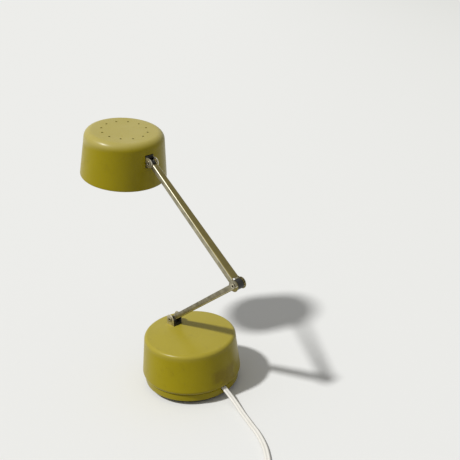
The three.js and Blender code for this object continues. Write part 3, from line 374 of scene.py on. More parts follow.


# ---- Enamel ----
# The base and the shade are stoved olive enamel on pressed steel, a little orange-peeled, with
# handling marks and dust; their tops are paler with dust and a painted sheen.
def enamel(name, top, dust_and_sheen_amount, stained=False):
    """Olive enamel: mottled a little, paler on its top with dust and a painted sheen, with smudges
    and soft scuffs. Stained, it carries the brown marks beside the flex."""
    f = Finish(name, Specular_IOR_Level=0.22)
    mottle = f.noise(38, 4, 0.55)
    olive = f.blend(mottle, (0.34, 0.27, 0.0005, 1), (0.40, 0.322, 0.001, 1))
    smudge = f.steps(f.noise(95, 6, 0.7), [(0.57, 0), (0.74, 1)])
    speck = f.steps(f.noise(2600, 2, 0.6), [(0.69, 0), (0.74, 1)])
    place = f.coordinates()
    cloud = f.noise(24, 4, 0.6)
    # Paler towards the top: partly dust, partly a painted sheen where the top faces the light.
    dust_and_sheen = f.band(f.along(place, 2), top - 9, top - 1) * (0.35 + 0.65 * cloud)
    marked = f.blend(smudge * 0.3, olive, (0.15, 0.105, 0.006, 1))
    top_paled = f.blend(dust_and_sheen * dust_and_sheen_amount, marked, (0.52, 0.45, 0.17, 1))
    spotted = f.blend(speck * 0.3, top_paled, (0.58, 0.53, 0.32, 1))
    if stained:
        beside = f.along(place, 1)
        aside = f.band(f.along(place, 0), 34, 42) * f.band(beside, -17, -9)
        level = f.along(place, 2)
        height = f.band(level, 15, 19) * f.band(38 - level, 0, 7) * f.band(22 - beside, 0, 8)
        blotch = f.steps(f.noise(70, 4, 0.6), [(0.42, 0), (0.50, 1)])
        spotted = f.blend(aside * height * blotch * 0.4, spotted, (0.16, 0.09, 0.003, 1))
    f.colour(spotted)
    haze = f.noise(130, 5, 0.65)
    f.rough(0.24 + 0.16 * haze + 0.1 * smudge)
    f.bump(f.noise(520, 3, 0.5) + 0.25 * f.noise(2100, 2), 0.22, 0.05 * MM)
    return f.material


def turned_ring(name, profile, material, sides=192, centre=(0, 0, 0), axis=None):
    """A profile of (radius, height) in millimetres turned about an axis: each point becomes the
    ring radius*cos, radius*sin, height. The profile runs anticlockwise round its material, and
    closes on itself."""
    profile = np.asarray(profile, float)
    profile = np.vstack([profile, profile[:1]])
    angle = np.linspace(0, 2 * math.pi, sides, endpoint=False)
    rings = np.stack(
        [
            profile[:, :1] * np.cos(angle),
            profile[:, :1] * np.sin(angle),
            np.repeat(profile[:, 1:], sides, axis=1),
        ],
        axis=-1,
    )
    if axis is not None:
        rings = rings @ np.asarray(axis, float)
    rings = rings + np.asarray(centre, float)
    return grid_mesh(name, rings * MM, material, caps=False)


AXIS = 0.02  # a turned profile stops this far from its axis, and leaves a pinhole there


def arc(centre_r, centre_z, radius, start, end, count=10):
    """Points of an arc, with its angles in degrees."""
    a = np.radians(np.linspace(start, end, count))
    return np.stack([centre_r + radius * np.cos(a), centre_z + radius * np.sin(a)], axis=1)


def curve3(a, b, c, count=10):
    """Points of a quadratic curve from a to c, drawn towards b."""
    t = np.linspace(0, 1, count)[:, None]
    a, b, c = (np.asarray(q, float) for q in (a, b, c))
    return (1 - t) ** 2 * a + 2 * t * (1 - t) * b + t**2 * c


def cutter(corner, opposite, place=None):
    """A box from corner to opposite corner in millimetres, to be cut away."""
    lo, hi = np.asarray(corner, float), np.asarray(opposite, float)
    mesh = bpy.data.meshes.new("cutter")
    work = bmesh.new()
    bmesh.ops.create_cube(work, size=1)
    for v in work.verts:
        p = Vector((lo + hi) / 2 + np.array(v.co) * (hi - lo))
        v.co = (place @ p if place else p) * MM
    work.to_mesh(mesh)
    work.free()
    return mesh


def rod_cutter(radius, start, end, sides=32):
    """A round rod between two points in millimetres, to be cut away."""
    start, end = Vector(start), Vector(end)
    mesh = bpy.data.meshes.new("cutter")
    work = bmesh.new()
    bmesh.ops.create_cone(
        work,
        cap_ends=True,
        segments=sides,
        radius1=radius * MM,
        radius2=radius * MM,
        depth=(end - start).length * MM,
        matrix=Matrix.Translation((start + end) / 2 * MM)
        @ (end - start).to_track_quat("Z", "Y").to_matrix().to_4x4(),
    )
    work.to_mesh(mesh)
    work.free()
    return mesh


def carve(piece, cutters, sharp=35, overlapping=False):
    """Cuts all the cutter meshes out of the piece in one go."""
    work = bmesh.new()
    for mesh in cutters:
        work.from_mesh(mesh)
    together = bpy.data.meshes.new("cutter")
    work.to_mesh(together)
    work.free()
    tool = bpy.data.objects.new("cutter", together)
    bpy.context.scene.collection.objects.link(tool)
    made = piece.modifiers.new("cut", "BOOLEAN")
    made.operation = "DIFFERENCE"
    made.solver = "EXACT"
    made.use_self = overlapping
    made.object = tool
    shape = bpy.data.meshes.new_from_object(
        piece.evaluated_get(bpy.context.evaluated_depsgraph_get())
    )
    piece.modifiers.clear()
    bpy.data.objects.remove(tool)
    piece.data = shape
    piece.data.shade_smooth()
    piece.data.set_sharp_from_angle(angle=math.radians(sharp))
    return piece


base_enamel = enamel("olive_enamel_base", 58, 0.34, stained=True)

# ---- Base casing ----
# A deep-drawn shell with a rounded shoulder and a slight crown sits over a shallow pan; the seam
# between them runs round the base a little above the table.
wall = 1.2
top_r, top_z, crown, shoulder = 48.6, 57.3, 1.8, 4.0
widest_r, widest_z = 52.5, 17
round_r = top_r - shoulder
under_z = top_z - wall
shell_profile = np.vstack(
    [
        curve3((AXIS, under_z + crown), (22, under_z + crown), (round_r, under_z), 14),
        arc(round_r, top_z - shoulder, shoulder - wall, 90, 0, 10),
        [(widest_r - wall, widest_z)],
        curve3((widest_r - wall, widest_z), (widest_r - wall, 14.9), (49.4, 12.85), 8)[1:],
        arc(50.3, 13.1, 0.25, 250, 340, 4),
        curve3((50.62, 13.15), (widest_r, 14.9), (widest_r, widest_z), 12)[1:],
        np.linspace((widest_r - 0.05, widest_z + 0.6), (top_r + 0.03, top_z - shoulder), 16),
        arc(round_r, top_z - shoulder, shoulder, 5, 90, 16),
        curve3((round_r, top_z), (22, top_z + crown), (AXIS, top_z + crown), 20)[1:],
    ]
)
base_shell = turned_ring("base_casing", shell_profile, base_enamel)
wall_slope = (widest_r - top_r) / (top_z - shoulder - widest_z)
switch_z = 0.61 * top_z
wall_at_switch = widest_r - wall_slope * (switch_z - widest_z)
switch_place = Matrix.Translation((-wall_at_switch, 0, switch_z)) @ Matrix.Rotation(
    math.atan(wall_slope), 4, "Y"
)
cord_notch = ((44.6, -3.6, 10.1), (58, 3.6, 14.3))
fork_slot = ((-31.0, -6.0, 49), (-18.7, 6.0, 66))
switch_hole = ((-6, -7.8, -10.8), (6, 7.8, 10.8))
carve(
    base_shell,
    [cutter(*fork_slot), cutter(*switch_hole, switch_place), cutter(*cord_notch)],
)
place_piece(base_shell, "base", "olive_paint", "base_shell")

pan_profile = np.vstack(
    [
        [(AXIS, 4.5), (30, 4.5), (48.4, 4.5)],
        arc(48.4, 6.3, 1.8, 280, 355, 8),
        [(50.25, 7), (50.5, 11.5)],
        arc(50.25, 12.25, 0.28, 0, 80, 4),
        [(49.1, 12.55), (48.7, 15.5), (47.9, 15.5), (47.9, 6.1), (30, 6), (AXIS, 6)],
    ]
)
base_pan = turned_ring("base_pan_pressing", pan_profile, base_enamel)
screw_circle, screw_bore = 38.5, 1.8
screw_holes = []
for third in range(3):
    a = math.pi / 2 + third * 2 * math.pi / 3
    screw_x, screw_y = screw_circle * math.cos(a), screw_circle * math.sin(a)
    screw_holes.append(rod_cutter(screw_bore, (screw_x, screw_y, 3), (screw_x, screw_y, 7.5)))
carve(base_pan, [cutter(*cord_notch)] + screw_holes)
place_piece(base_pan, "base", "olive_paint", "base_pan")


# ---- Carried-over pieces ----
# Small turned, pressed and moulded parts keep the shape they are made in, with their sharp edges
# broken by a fine bevel. Some that are out of sight only take their finish.
def softened(node, name, body, slot, material, width=0.15, segments=2):
    """A copy of a CAD node with its flat faces merged and its edges bevelled."""
    mesh = frame["nodes"][node].data.copy()
    work = bmesh.new()
    work.from_mesh(mesh)
    bmesh.ops.remove_doubles(work, verts=work.verts, dist=2e-6)
    bmesh.ops.dissolve_limit(
        work, angle_limit=math.radians(1), verts=work.verts, edges=work.edges
    )
    work.to_mesh(mesh)
    work.free()
    piece = finished(name, mesh, material, 35)
    bevel = piece.modifiers.new("edges", "BEVEL")
    bevel.width = width * MM
    bevel.segments = segments
    bevel.limit_method = "ANGLE"
    bevel.angle_limit = math.radians(40)
    bevel.harden_normals = True
    return place_piece(piece, body, slot, node)


def dressed(material, *nodes):
    """CAD nodes that stay as they are, in a new finish."""
    for node in nodes:
        data = frame["nodes"][node].data
        data.materials.clear()
        data.materials.append(material)


# ---- Nickel ----
# The arms, brackets and rivets are steel strip in dull nickel plate, now aged. It has fine drawn
# lines along the strip, clouds of tarnish and small pits; hidden screws and straps are zinc plated.
def nickel(name, tones, place=None, shaded_web=None):
    """Aged nickel: tarnish clouds between two tones, drawn lines along the strip, and dark pits.
    A channel's own place turns the lines along it; its web, below the two heights given, is painted
    darker and brown as painted shade, and its bends get a painted highlight."""
    f = Finish(name, Metallic=1.0)
    back = (place or Matrix()).inverted()
    turn, shift = tuple(back.to_euler()), tuple(back.translation * MM)
    local = f.coordinates(turn, shift=shift)
    clouds = f.noise(120, 5, 0.6)
    drawn = f.node("Mapping", inputs={"Vector": local, "Scale": (0.12, 6, 6)})
    lines = f.noise(260, 3, 0.6, drawn)
    pits = f.steps(f.noise(1500, 3, 0.6), [(0.66, 0), (0.72, 1)])
    tone = f.blend(f.steps(clouds, [(0.35, 0), (0.65, 1)]), tones[0], tones[1])
    tone = f.blend(f.band(lines, 0.5, 0.75) * 0.45, tone, (0.14, 0.12, 0.07, 1))
    if shaded_web is not None:
        # Painted shade: below these heights the web is painted darker and brown; a painted
        # highlight runs along its bends.
        bottom, top = shaded_web
        level = f.along(local, 2)
        painted_web_shade = f.blend(clouds, (0.18, 0.148, 0.05, 1), (0.275, 0.228, 0.09, 1))
        tone = f.blend(f.band(0 - level, -top, -bottom), tone, painted_web_shade)
        painted_bend_highlight = f.band(level, bottom, bottom + 0.25) * f.band(0 - level, -top - 0.5, -top)
        tone = f.blend(painted_bend_highlight * 0.8, tone, (0.82, 0.78, 0.62, 1))
    f.colour(f.blend(pits * 0.6, tone, (0.1, 0.085, 0.05, 1)))
    f.rough(0.24 + 0.2 * clouds + 0.12 * lines)
    f.bump(lines + 0.4 * clouds, 0.12, 0.04 * MM)
    return f.material


bright_nickel = nickel("nickel_brackets", ((0.52, 0.48, 0.38, 1), (0.80, 0.76, 0.64, 1)))
rivet_nickel = nickel("nickel_rivets", ((0.32, 0.29, 0.20, 1), (0.50, 0.46, 0.35, 1)))
steel = Finish("zinc_steel", Metallic=1.0)
steel.colour(steel.blend(steel.noise(220, 4), (0.42, 0.43, 0.42, 1), (0.62, 0.63, 0.62, 1)))
steel.rough(0.28 + 0.25 * steel.noise(420, 3))
steel.bump(steel.noise(800, 2), 0.2, 0.03 * MM)
steel = steel.material

# ---- Dark mouldings ----
# The insulators, bushes and switch housing are moulded in black phenolic. It is dull, with grey
# dust in its low places.
black = Finish("black_phenolic", Specular_IOR_Level=0.45)
black_dust = black.steps(black.noise(600, 5, 0.65), [(0.5, 0), (0.72, 1)])
black.colour(black.blend(black_dust * 0.5, (0.012, 0.011, 0.009, 1), (0.075, 0.068, 0.05, 1)))
black.rough(0.4 + 0.3 * black_dust)
black.bump(black.noise(1400, 3), 0.3, 0.04 * MM)
black = black.material

# ---- Arms ----
# Each arm is a strip of plated steel folded into a tapered channel, open on one side. Its flanges
# run on past the web as round ears that pin to the next piece.
def plate(stations, low, high, near, far, edge=0.14):
    """A sheet standing between two edge curves. Each station gives a place along the plate, the
    heights of its two edges, and the depths of its two faces; its section is a rounded oblong of
    twelve points."""
    a = np.radians([0, 45, 90, 90, 135, 180, 180, 225, 270, 270, 315, 360])
    corner_x = np.array([1, 1, 1, -1, -1, -1, -1, -1, -1, 1, 1, 1])
    corner_z = np.array([1, 1, 1, 1, 1, 1, -1, -1, -1, -1, -1, -1])
    middle_y, half_y = (near + far) / 2, (far - near) / 2
    middle_z, half_z = (high + low) / 2, np.maximum((high - low) / 2, edge * 1.01)
    y = middle_y[:, None] + corner_x * (half_y[:, None] - edge) + edge * np.cos(a)
    z = middle_z[:, None] + corner_z * (half_z[:, None] - edge) + edge * np.sin(a)
    x = np.repeat(stations[:, None], 12, axis=1)
    return np.stack([x, y, z], axis=-1)


def joined(name, tubes, place, material):
    """Several closed tubes of rings, set in their place, as one piece."""
    points = np.vstack([rings.reshape(-1, 3) for rings in tubes])
    placed = (np.c_[points, np.ones(len(points))] @ np.array(place).T)[:, :3]
    faces, first = [], 0
    for rings in tubes:
        faces += ring_faces(rings, first=first)
        first += rings.shape[0] * rings.shape[1]
    mesh = bpy.data.meshes.new(name)
    mesh.from_pydata(placed * MM, [], faces)
    return finished(name, mesh, material)


def channel_arm(name, length, start, end, cut, place, material, sheet=0.8, bend=1.35):
    """A tapered channel: two flange plates whose outline is the channel's depth widened to a
    circle at each pin, and between them a web with a quarter-round bend along each side."""
    step_in, pin_hole = 0.35, 2.0
    around = np.radians(np.linspace(0, 180, 25))
    x = np.unique(
        np.concatenate(
            [
                -start["ear"] * np.cos(around),
                length - end["ear"] * np.cos(around),
                np.linspace(start["ear"], length - end["ear"], 50),
                [cut[0] - 0.02, cut[0] + step_in],
                [length - cut[1] - step_in, length - cut[1] + 0.02],
            ]
        ).round(4)
    )
    share = x / length
    half_depth = (start["depth"] + (end["depth"] - start["depth"]) * share) / 2
    half_width = start["half"] + (end["half"] - start["half"]) * share

    def round_ear(middle, radius):
        return np.sqrt(np.clip(radius**2 - (x - middle) ** 2, 0, None))

    ear = np.maximum(round_ear(0, start["ear"]), round_ear(length, end["ear"]))
    inside = (x > 0) & (x < length)
    high = np.where(inside, np.maximum(half_depth, ear), ear)
    webbed = ease((x - cut[0]) / step_in) * ease((length - cut[1] - x) / step_in)
    low = np.where(webbed > 0, np.minimum(-high + bend * webbed, -half_depth + bend), -high)
    web_x = np.linspace(cut[0], length - cut[1], 50)
    depth = (start["depth"] + (end["depth"] - start["depth"]) * web_x / length) / 2
    half = start["half"] + (end["half"] - start["half"]) * web_x / length
    q = np.radians(np.linspace(0, 90, 9))  # from the web round to the flange
    inner = bend - sheet
    outer_y, outer_z = bend * np.sin(q), bend * np.cos(q)
    inner_y, inner_z = inner * np.sin(q[::-1]), inner * np.cos(q[::-1])
    side_y = half[:, None] - bend + np.concatenate([outer_y, inner_y])
    side_z = -depth[:, None] + bend - np.concatenate([outer_z, inner_z])
    ring_y = np.concatenate([side_y, -side_y[:, ::-1]], axis=1)
    ring_z = np.concatenate([side_z, side_z[:, ::-1]], axis=1)
    ring_x = np.repeat(web_x[:, None], ring_y.shape[1], axis=1)
    tubes = [
        plate(x, low, high, -half_width, -half_width + sheet),
        plate(x, low, high, half_width - sheet, half_width),
        np.stack([ring_x, ring_y, ring_z], axis=-1),
    ]
    arm = joined(name, tubes, place, material)
    pin_bores = [
        rod_cutter(pin_hole, place @ Vector((pin, -9, 0)), place @ Vector((pin, 9, 0)))
        for pin in (0, length)
    ]
    return carve(arm, pin_bores, overlapping=True)


hinge = Vector((-25.2, 0, 65))
lower_angle, upper_angle = math.radians(36.85), math.radians(38.4)
lower_length, upper_length = 125.6, 153.3
lower_place = Matrix.Translation(hinge) @ Matrix.Rotation(-lower_angle, 4, "Y")
elbow = lower_place @ Vector((lower_length, 0, 0))
upper_place = Matrix.Translation(elbow) @ Matrix.Rotation(upper_angle - math.pi, 4, "Y")
head_pin = upper_place @ Vector((upper_length, 0, 0))
dull_tones = ((0.17, 0.15, 0.10, 1), (0.36, 0.33, 0.235, 1))
strip_tones = ((0.26, 0.235, 0.15, 1), (0.46, 0.425, 0.30, 1))
# The last pair of numbers bounds each arm's web, which is painted with shade, with a painted
# highlight along its bends.
lower_nickel = nickel("nickel_lower_arm", dull_tones, lower_place, (-2.6, -2.3))
upper_nickel = nickel("nickel_upper_arm", strip_tones, upper_place, (-2.7, -2.3))
lower_arm = channel_arm(
    "lower_arm_channel",
    lower_length,
    {"half": 3.6, "depth": 5.7, "ear": 3.6},
    {"half": 5.7, "depth": 5.7, "ear": 5.9},
    (4.8, 6.2),
    lower_place,
    lower_nickel,
)
place_piece(lower_arm, "lower_arm", "nickel_plate", "lower_arm")
upper_arm = channel_arm(
    "upper_arm_channel",
    upper_length,
    {"half": 4.6, "depth": 6.7, "ear": 5.2},
    {"half": 3.2, "depth": 5.3, "ear": 3.2},
    (6.2, 4.8),
    upper_place,
    upper_nickel,
)
place_piece(upper_arm, "upper_arm", "nickel_plate", "upper_arm")


# ---- Rivets and washers ----
# Hollow rivets close each hinge: a tube with a rolled flange on both ends, and a spring washer
# under the far one.
Y_AXIS = ((1, 0, 0), (0, 0, -1), (0, 1, 0))  # a turned profile's height becomes +Y


def eyelet(name, pin, outside, body, node):
    """A tube along Y with a rolled flange at each end, turned about the pin."""
    bore, shank, flange = 1.22, 1.7, 2.8
    gap, washer, rolled = 0.3, 0.5, 0.6
    near, far = -outside - gap - rolled, outside + gap + washer + gap + rolled
    profile = np.vstack(
        [
            [(bore, near + 0.35)],
            arc(bore + 0.32, near + 0.32, 0.32, 190, 268, 6),
            arc(flange - 0.3, near + 0.3, 0.3, 272, 360, 6),
            [(flange, near + 0.55), (flange - 0.05, near + rolled), (shank, near + rolled)],
            [(shank, far - rolled), (flange - 0.05, far - rolled), (flange, far - 0.55)],
            arc(flange - 0.3, far - 0.3, 0.3, 0, 88, 6),
            arc(bore + 0.32, far - 0.32, 0.32, 92, 170, 6),
            [(bore, far - 0.35)],
        ]
    )
    piece = turned_ring(name, profile, rivet_nickel, 48, pin, Y_AXIS)
    return place_piece(piece, body, "nickel_plate", node)


def spring_washer(name, pin, outside, body, node):
    """A flat ring along Y with its edges rounded."""
    low, high = outside + 0.3, outside + 0.8
    bore, rim, edge = 2.05, 3.4, 0.1
    profile = [
        (bore, low + edge),
        (bore + edge, low),
        (rim - edge, low),
        (rim, low + edge),
        (rim, high - edge),
        (rim - edge, high),
        (bore + edge, high),
        (bore, high - edge),
    ]
    piece = turned_ring(name, profile, steel, 48, pin, Y_AXIS)
    return place_piece(piece, body, "zinc_steel", node)


for label, pin, outside, body in (
    ("base", hinge, 5.9, "base"),
    ("elbow", elbow, 5.8, "lower_arm"),
    ("head", head_pin, 4.4, "head"),
):
    eyelet(f"{label}_eyelet", tuple(pin), outside, body, f"{label}_rivet")
    spring_washer(f"{label}_washer", tuple(pin), outside, body, f"{label}_spring_washer")

# ---- Hinge fittings ----
# The base fork and the head bracket are folded nickel strip; black insulators hold them off the
# casing and the shade, since the arms carry the lamp's low voltage.
softened("base_fork", "base_fork_strip", "base", "nickel_plate", bright_nickel, 0.2)
softened("head_bracket", "head_bracket_strip", "head", "nickel_plate", bright_nickel, 0.2)
softened("hinge_cradle", "hinge_cradle_block", "base", "black_plastic", black, 0.25)
softened("head_insulator", "head_insulator_block", "head", "black_plastic", black, 0.25)
dressed(black, "base_bush", "elbow_bush", "head_bush")
dressed(black, "lower_arm_lead", "upper_arm_lead", "cord_tie")
for node in (
    "fork_screw",
    "clamp_screw_1",
    "clamp_screw_2",
    "transformer_screw_1",
    "transformer_screw_2",
    "pan_screw_1",
    "pan_screw_2",
    "pan_screw_3",
):
    softened(node, f"{node}_turned", "base", "zinc_steel", steel, 0.12, 1)
dressed(steel, "shell_bracket_1", "shell_bracket_2", "shell_bracket_3", "transformer_strap")

# ---- Shade ----
# A pressed drum with a rounded top edge and a ring of small vents. It hangs from its bracket by
# the wall, tipped a little.
head_tilt = math.radians(9.9)
slope = math.atan(4.7 / 49)
rim_r, rim_z, crown_z = 45.85, -30.2, 18.66
bend_out, shade_wall = 8.4, 1.0


def shade_radius(z):
    """The drum's outside radius at a height: its wall is a straight cone above the rim."""
    return rim_r - (z - rim_z) * math.tan(slope)


standoff = shade_radius(0) + 4.3
tilt = Matrix.Rotation(head_tilt, 4, "Y")
shade_centre = head_pin + tilt @ Vector((-standoff, 0, 0))
head_place = Matrix.Translation(head_pin) @ tilt
shade_axes = np.array(tilt.to_3x3()).T
bend_z = crown_z - bend_out
bend_r = shade_radius(bend_z) - bend_out / math.cos(slope)
slope_degrees = math.degrees(slope)
shade_profile = np.vstack(
    [
        [(AXIS, crown_z - shade_wall), (16, crown_z - shade_wall)],
        arc(bend_r, bend_z, bend_out - shade_wall, 90, slope_degrees, 14),
        np.linspace(
            (shade_radius(bend_z) - shade_wall, bend_z - 1),
            (rim_r - shade_wall, rim_z + 0.4),
            8,
        ),
        arc(45.35, rim_z + 0.35, 0.48, 185, 355, 8),
        np.linspace((45.83, rim_z + 0.6), (shade_radius(bend_z) - 0.02, bend_z), 16),
        arc(bend_r, bend_z, bend_out, slope_degrees + 4, 90, 20),
        [(26, crown_z), (24, crown_z), (12, crown_z), (AXIS, crown_z)],
    ]
)
shade_enamel = enamel("olive_enamel_shade", 258, 0.85)
shade = turned_ring(
    "shade_drum", shade_profile, shade_enamel, 192, tuple(shade_centre), shade_axes
)
vent_ring, vent_r = 0.525 * rim_r, 1.2
cuts = []
for a in (np.arange(12) + 0.5) * math.pi / 6:
    below, above = (
        head_place
        @ Vector((-standoff + vent_ring * math.cos(a), vent_ring * math.sin(a), crown_z + side))
        for side in (-2, 2)
    )
    cuts.append(rod_cutter(vent_r, below, above, 16))
cuts.append(cutter((-9, -5, -6.8), (2, 5, 6.8), head_place))
carve(shade, cuts)
place_piece(shade, "head", "olive_paint", "head_shade")

# ---- Reflector ----
# A spun bell in white enamel lines the shade and throws the light down; the holder passes through
# its side.
def bell_dome(radius, low, height):
    """The dome's profile: a quarter of an ellipse from the waist up to the axis."""
    t = np.linspace(0, math.pi / 2, 24)
    return np.stack([np.maximum(radius * np.cos(t), AXIS), low + height * np.sin(t)], axis=1)


white = Finish("white_enamel", Specular_IOR_Level=0.5)
yellowed = white.steps(white.noise(160, 5, 0.6), [(0.5, 0), (0.8, 1)])
white.colour(white.blend(yellowed * 0.4, (0.86, 0.86, 0.84, 1), (0.66, 0.62, 0.52, 1)))
white.rough(0.28 + 0.15 * white.noise(240, 3))
white.bump(white.noise(500, 2), 0.15, 0.04 * MM)
white = white.material
bell_z, bell_wall, dome_height = rim_z + 1.5, 0.6, 22.5
bell_rim = shade_radius(bell_z) - 1.3
bell_waist, waist_z = bell_rim - 8.8, rim_z + 22
bell_outer = np.vstack(
    [
        np.linspace((bell_rim, bell_z), (bell_waist + 0.5, waist_z - 1.3), 8),
        bell_dome(bell_waist, waist_z, dome_height),
    ]
)
bell_inner = np.vstack(
    [
        np.linspace((bell_rim - bell_wall, bell_z), (bell_waist - 0.1, waist_z - 1.3), 8),
        bell_dome(bell_waist - bell_wall, waist_z, dome_height - bell_wall),
    ]
)
bell = turned_ring(
    "reflector_bell",
    np.vstack([bell_inner[::-1], bell_outer]),
    white,
    128,
    tuple(shade_centre),
    shade_axes,
)
bulb_z, holder_hole = -5.0, 9.1
hole_from, hole_to = (head_place @ Vector((x, 0, bulb_z)) for x in (0, -34))
carve(bell, [rod_cutter(holder_hole, hole_from, hole_to, 64)])
place_piece(bell, "head", "white_enamel", "head_reflector")

# ---- Holder and bulb ----
# A ceramic bayonet holder screwed to the bracket, and a small clear low-voltage bulb lying level
# in it.
ceramic = Finish("steatite", Specular_IOR_Level=0.5)
ceramic.colour(ceramic.blend(ceramic.noise(300, 4), (0.80, 0.78, 0.70, 1), (0.86, 0.84, 0.78, 1)))
ceramic.rough(0.25 + 0.15 * ceramic.noise(500, 3))
ceramic.bump(ceramic.noise(700, 3), 0.2, 0.05 * MM)
brass = Finish("brass_fittings", Metallic=1.0)
brass.colour(brass.blend(brass.noise(260, 5, 0.6), (0.50, 0.34, 0.11, 1), (0.68, 0.50, 0.20, 1)))
brass.rough(0.22 + 0.25 * brass.noise(420, 4))
brass.bump(brass.noise(900, 2), 0.15, 0.03 * MM)
brass = brass.material
glass = Finish("bulb_glass", IOR=1.48, Transmission_Weight=1.0)
glass.colour((0.985, 0.985, 0.98, 1))
glass.rough(0.01 + 0.03 * glass.noise(180, 3))
glass.bump(glass.noise(90, 2), 0.08, 0.1 * MM)
tungsten = Finish("tungsten", Metallic=1.0)
tungsten.colour(tungsten.blend(tungsten.noise(2000, 2), (0.2, 0.2, 0.21, 1), (0.36, 0.36, 0.37, 1)))
tungsten.rough(0.35 + 0.2 * tungsten.noise(3000, 2))
INWARDS = np.array(((0, 0, 1), (0, 1, 0), (-1, 0, 0))) @ shade_axes
bulb_start = tuple(head_place @ Vector((0, 0, bulb_z)))


def lamp_piece(name, profile, material, slot, node, sides=64):
    """A profile turned about the bulb's level axis; its heights run inwards from the head pin."""
    piece = turned_ring(name, profile, material, sides, bulb_start, INWARDS)
    return place_piece(piece, "head", slot, node)


lamp_piece(
    "holder_ceramic",
    np.vstack(
        [
            [(AXIS, 10.1), (8.2, 10.1), (8.7, 10.5), (8.8, 11)],
            [(8.8, 17), (8.5, 17.4), (8.5, 18.4), (8.8, 18.8)],
            arc(8.3, 30.5, 0.5, 0, 180, 8),
            [(7.8, 16.2), (AXIS, 16.2)],
        ]
    ),
    ceramic.material,
    "ceramic",
    "lamp_holder",
)
lamp_piece(
    "bulb_cap_brass",
    np.vstack(
        [
            [(AXIS, 20.2), (1.8, 20.2), (2.2, 20.5), (2.8, 21.4)],
            [(6.5, 22), (7.2, 22.4), (7.5, 23)],
            [(7.5, 26), (7.35, 26.3), (7.35, 27), (7.5, 27.3)],
            [(7.5, 36.8), (7.35, 37.45), (7.1, 37.5), (6.95, 37.3)],
            [(6.9, 23.6), (AXIS, 23.6)],
        ]
    ),
    brass,
    "brass",
    "bulb_cap",
)
neck, bulb_radius, bulb_middle, glass_wall = 6.6, 9.2, 48.3, 0.5
neck_inside, inside_radius = neck - glass_wall, bulb_radius - glass_wall
outer_waist = math.degrees(math.asin(neck / bulb_radius))
inner_waist = math.degrees(math.asin(neck_inside / inside_radius))
lamp_piece(
    "bulb_envelope",
    np.vstack(
        [
            [(neck_inside, 33.5), (neck, 33.5), (neck, 38)],
            arc(0, bulb_middle, bulb_radius, outer_waist - 90, 89.8, 28),
            arc(0, bulb_middle, inside_radius, 89.8, inner_waist - 90, 28),
            [(neck_inside, 38)],
        ]
    ),
    glass.material,
    "clear_glass",
    "bulb_glass",
)
dressed(tungsten.material, "bulb_filament")
dressed(brass, "holder_contact", "switch_terminal_1", "switch_terminal_2")

# ---- Switch ----
# A rocker switch in ivory nylon, in a black phenolic housing that snaps into a hole in the wall
# under the head.
ivory = Finish("ivory_nylon", Specular_IOR_Level=0.5)
ivory.colour(ivory.blend(ivory.noise(200, 4), (0.74, 0.69, 0.56, 1), (0.80, 0.76, 0.65, 1)))
ivory.rough(0.32 + 0.15 * ivory.noise(700, 3))
ivory.bump(ivory.noise(1200, 2), 0.2, 0.03 * MM)
ivory = ivory.material
softened("switch_housing", "switch_housing_moulding", "base", "black_plastic", black, 0.3)
softened("switch_rocker", "switch_rocker_key", "switch_rocker", "ivory_plastic", ivory, 0.35, 3)

# ---- Transformer ----
# Stacked iron plates under a steel strap, with a nylon bobbin and two copper windings; out of
# sight inside the base.
iron = Finish("core_laminations", Metallic=0.9)
plates = iron.node(
    "TexWave",
    {"wave_type": "BANDS", "bands_direction": "Y"},
    {"Vector": iron.coordinates(), "Scale": 320.0, "Distortion": 0.4, "Detail": 2.0},
    output=1,
)
iron.colour(iron.blend(plates, (0.07, 0.075, 0.085, 1), (0.2, 0.21, 0.22, 1)))
iron.rough(0.45 + 0.2 * plates)
iron.bump(plates, 0.5, 0.08 * MM)
copper = Finish("copper_windings", Metallic=1.0)
turns = copper.node(
    "TexWave",
    {"wave_type": "BANDS", "bands_direction": "Z"},
    {"Vector": copper.coordinates(), "Scale": 420.0, "Distortion": 0.2},
    output=1,
)
copper.colour(copper.blend(turns, (0.18, 0.06, 0.025, 1), (0.48, 0.2, 0.09, 1)))
copper.rough(0.25 + 0.15 * turns)
copper.bump(turns, 0.7, 0.12 * MM)
dressed(iron.material, "transformer_core")
dressed(copper.material, "primary_winding", "secondary_winding")
dressed(ivory, "transformer_bobbin")
softened("terminal_block", "terminal_block_moulding", "base", "ivory_plastic", ivory, 0.3)
softened("cord_clamp", "cord_clamp_moulding", "base", "ivory_plastic", ivory, 0.3)

# ---- Foot pad ----
# A black rubber disc is stuck under the pan and keeps the lamp from sliding. It is matt and
# picks up grey dust.
rubber = Finish("pad_rubber", Specular_IOR_Level=0.35)
grey = rubber.noise(350, 5, 0.65)
rubber.colour(rubber.blend(grey, (0.014, 0.014, 0.014, 1), (0.045, 0.043, 0.04, 1)))
rubber.rough(0.7 + 0.2 * grey)
rubber.bump(rubber.noise(1500, 3), 0.4, 0.06 * MM)
dressed(rubber.material, "foot_pad")

# ---- Plug ----
# A flat plug is moulded on the flex's end in the same ivory vinyl, over two flat plated blades.
# Its section is a rounded oblong whose half-width and half-height draw in towards the flex.
plug_to = Vector((0, 1, 0))
plug_side = Vector((plug_to.y, -plug_to.x, 0))
plug_face = Vector((coil_centre[0], coil_centre[1], 0.2)) + 60 * plug_to + 35.9 * plug_side
back = np.array([0, 0.5, 2, 4, 8, 12, 14, 17, 20, 23, 26, 27, 30, 33, 34.6, 35])
half_wide = np.interp(back, [0, 0.5, 2, 14, 20, 26, 35], [10.6, 11.3, 11.9, 11.9, 9.2, 4.4, 3.4])
half_high = np.interp(back, [0, 0.5, 2, 14, 20, 26, 35], [6.3, 6.9, 7.4, 7.4, 6.6, 5.2, 4.2])
superround = np.linspace(0, 2 * math.pi, 48, endpoint=False)
oblong = 0.42
side = np.sign(np.cos(superround)) * np.abs(np.cos(superround)) ** oblong
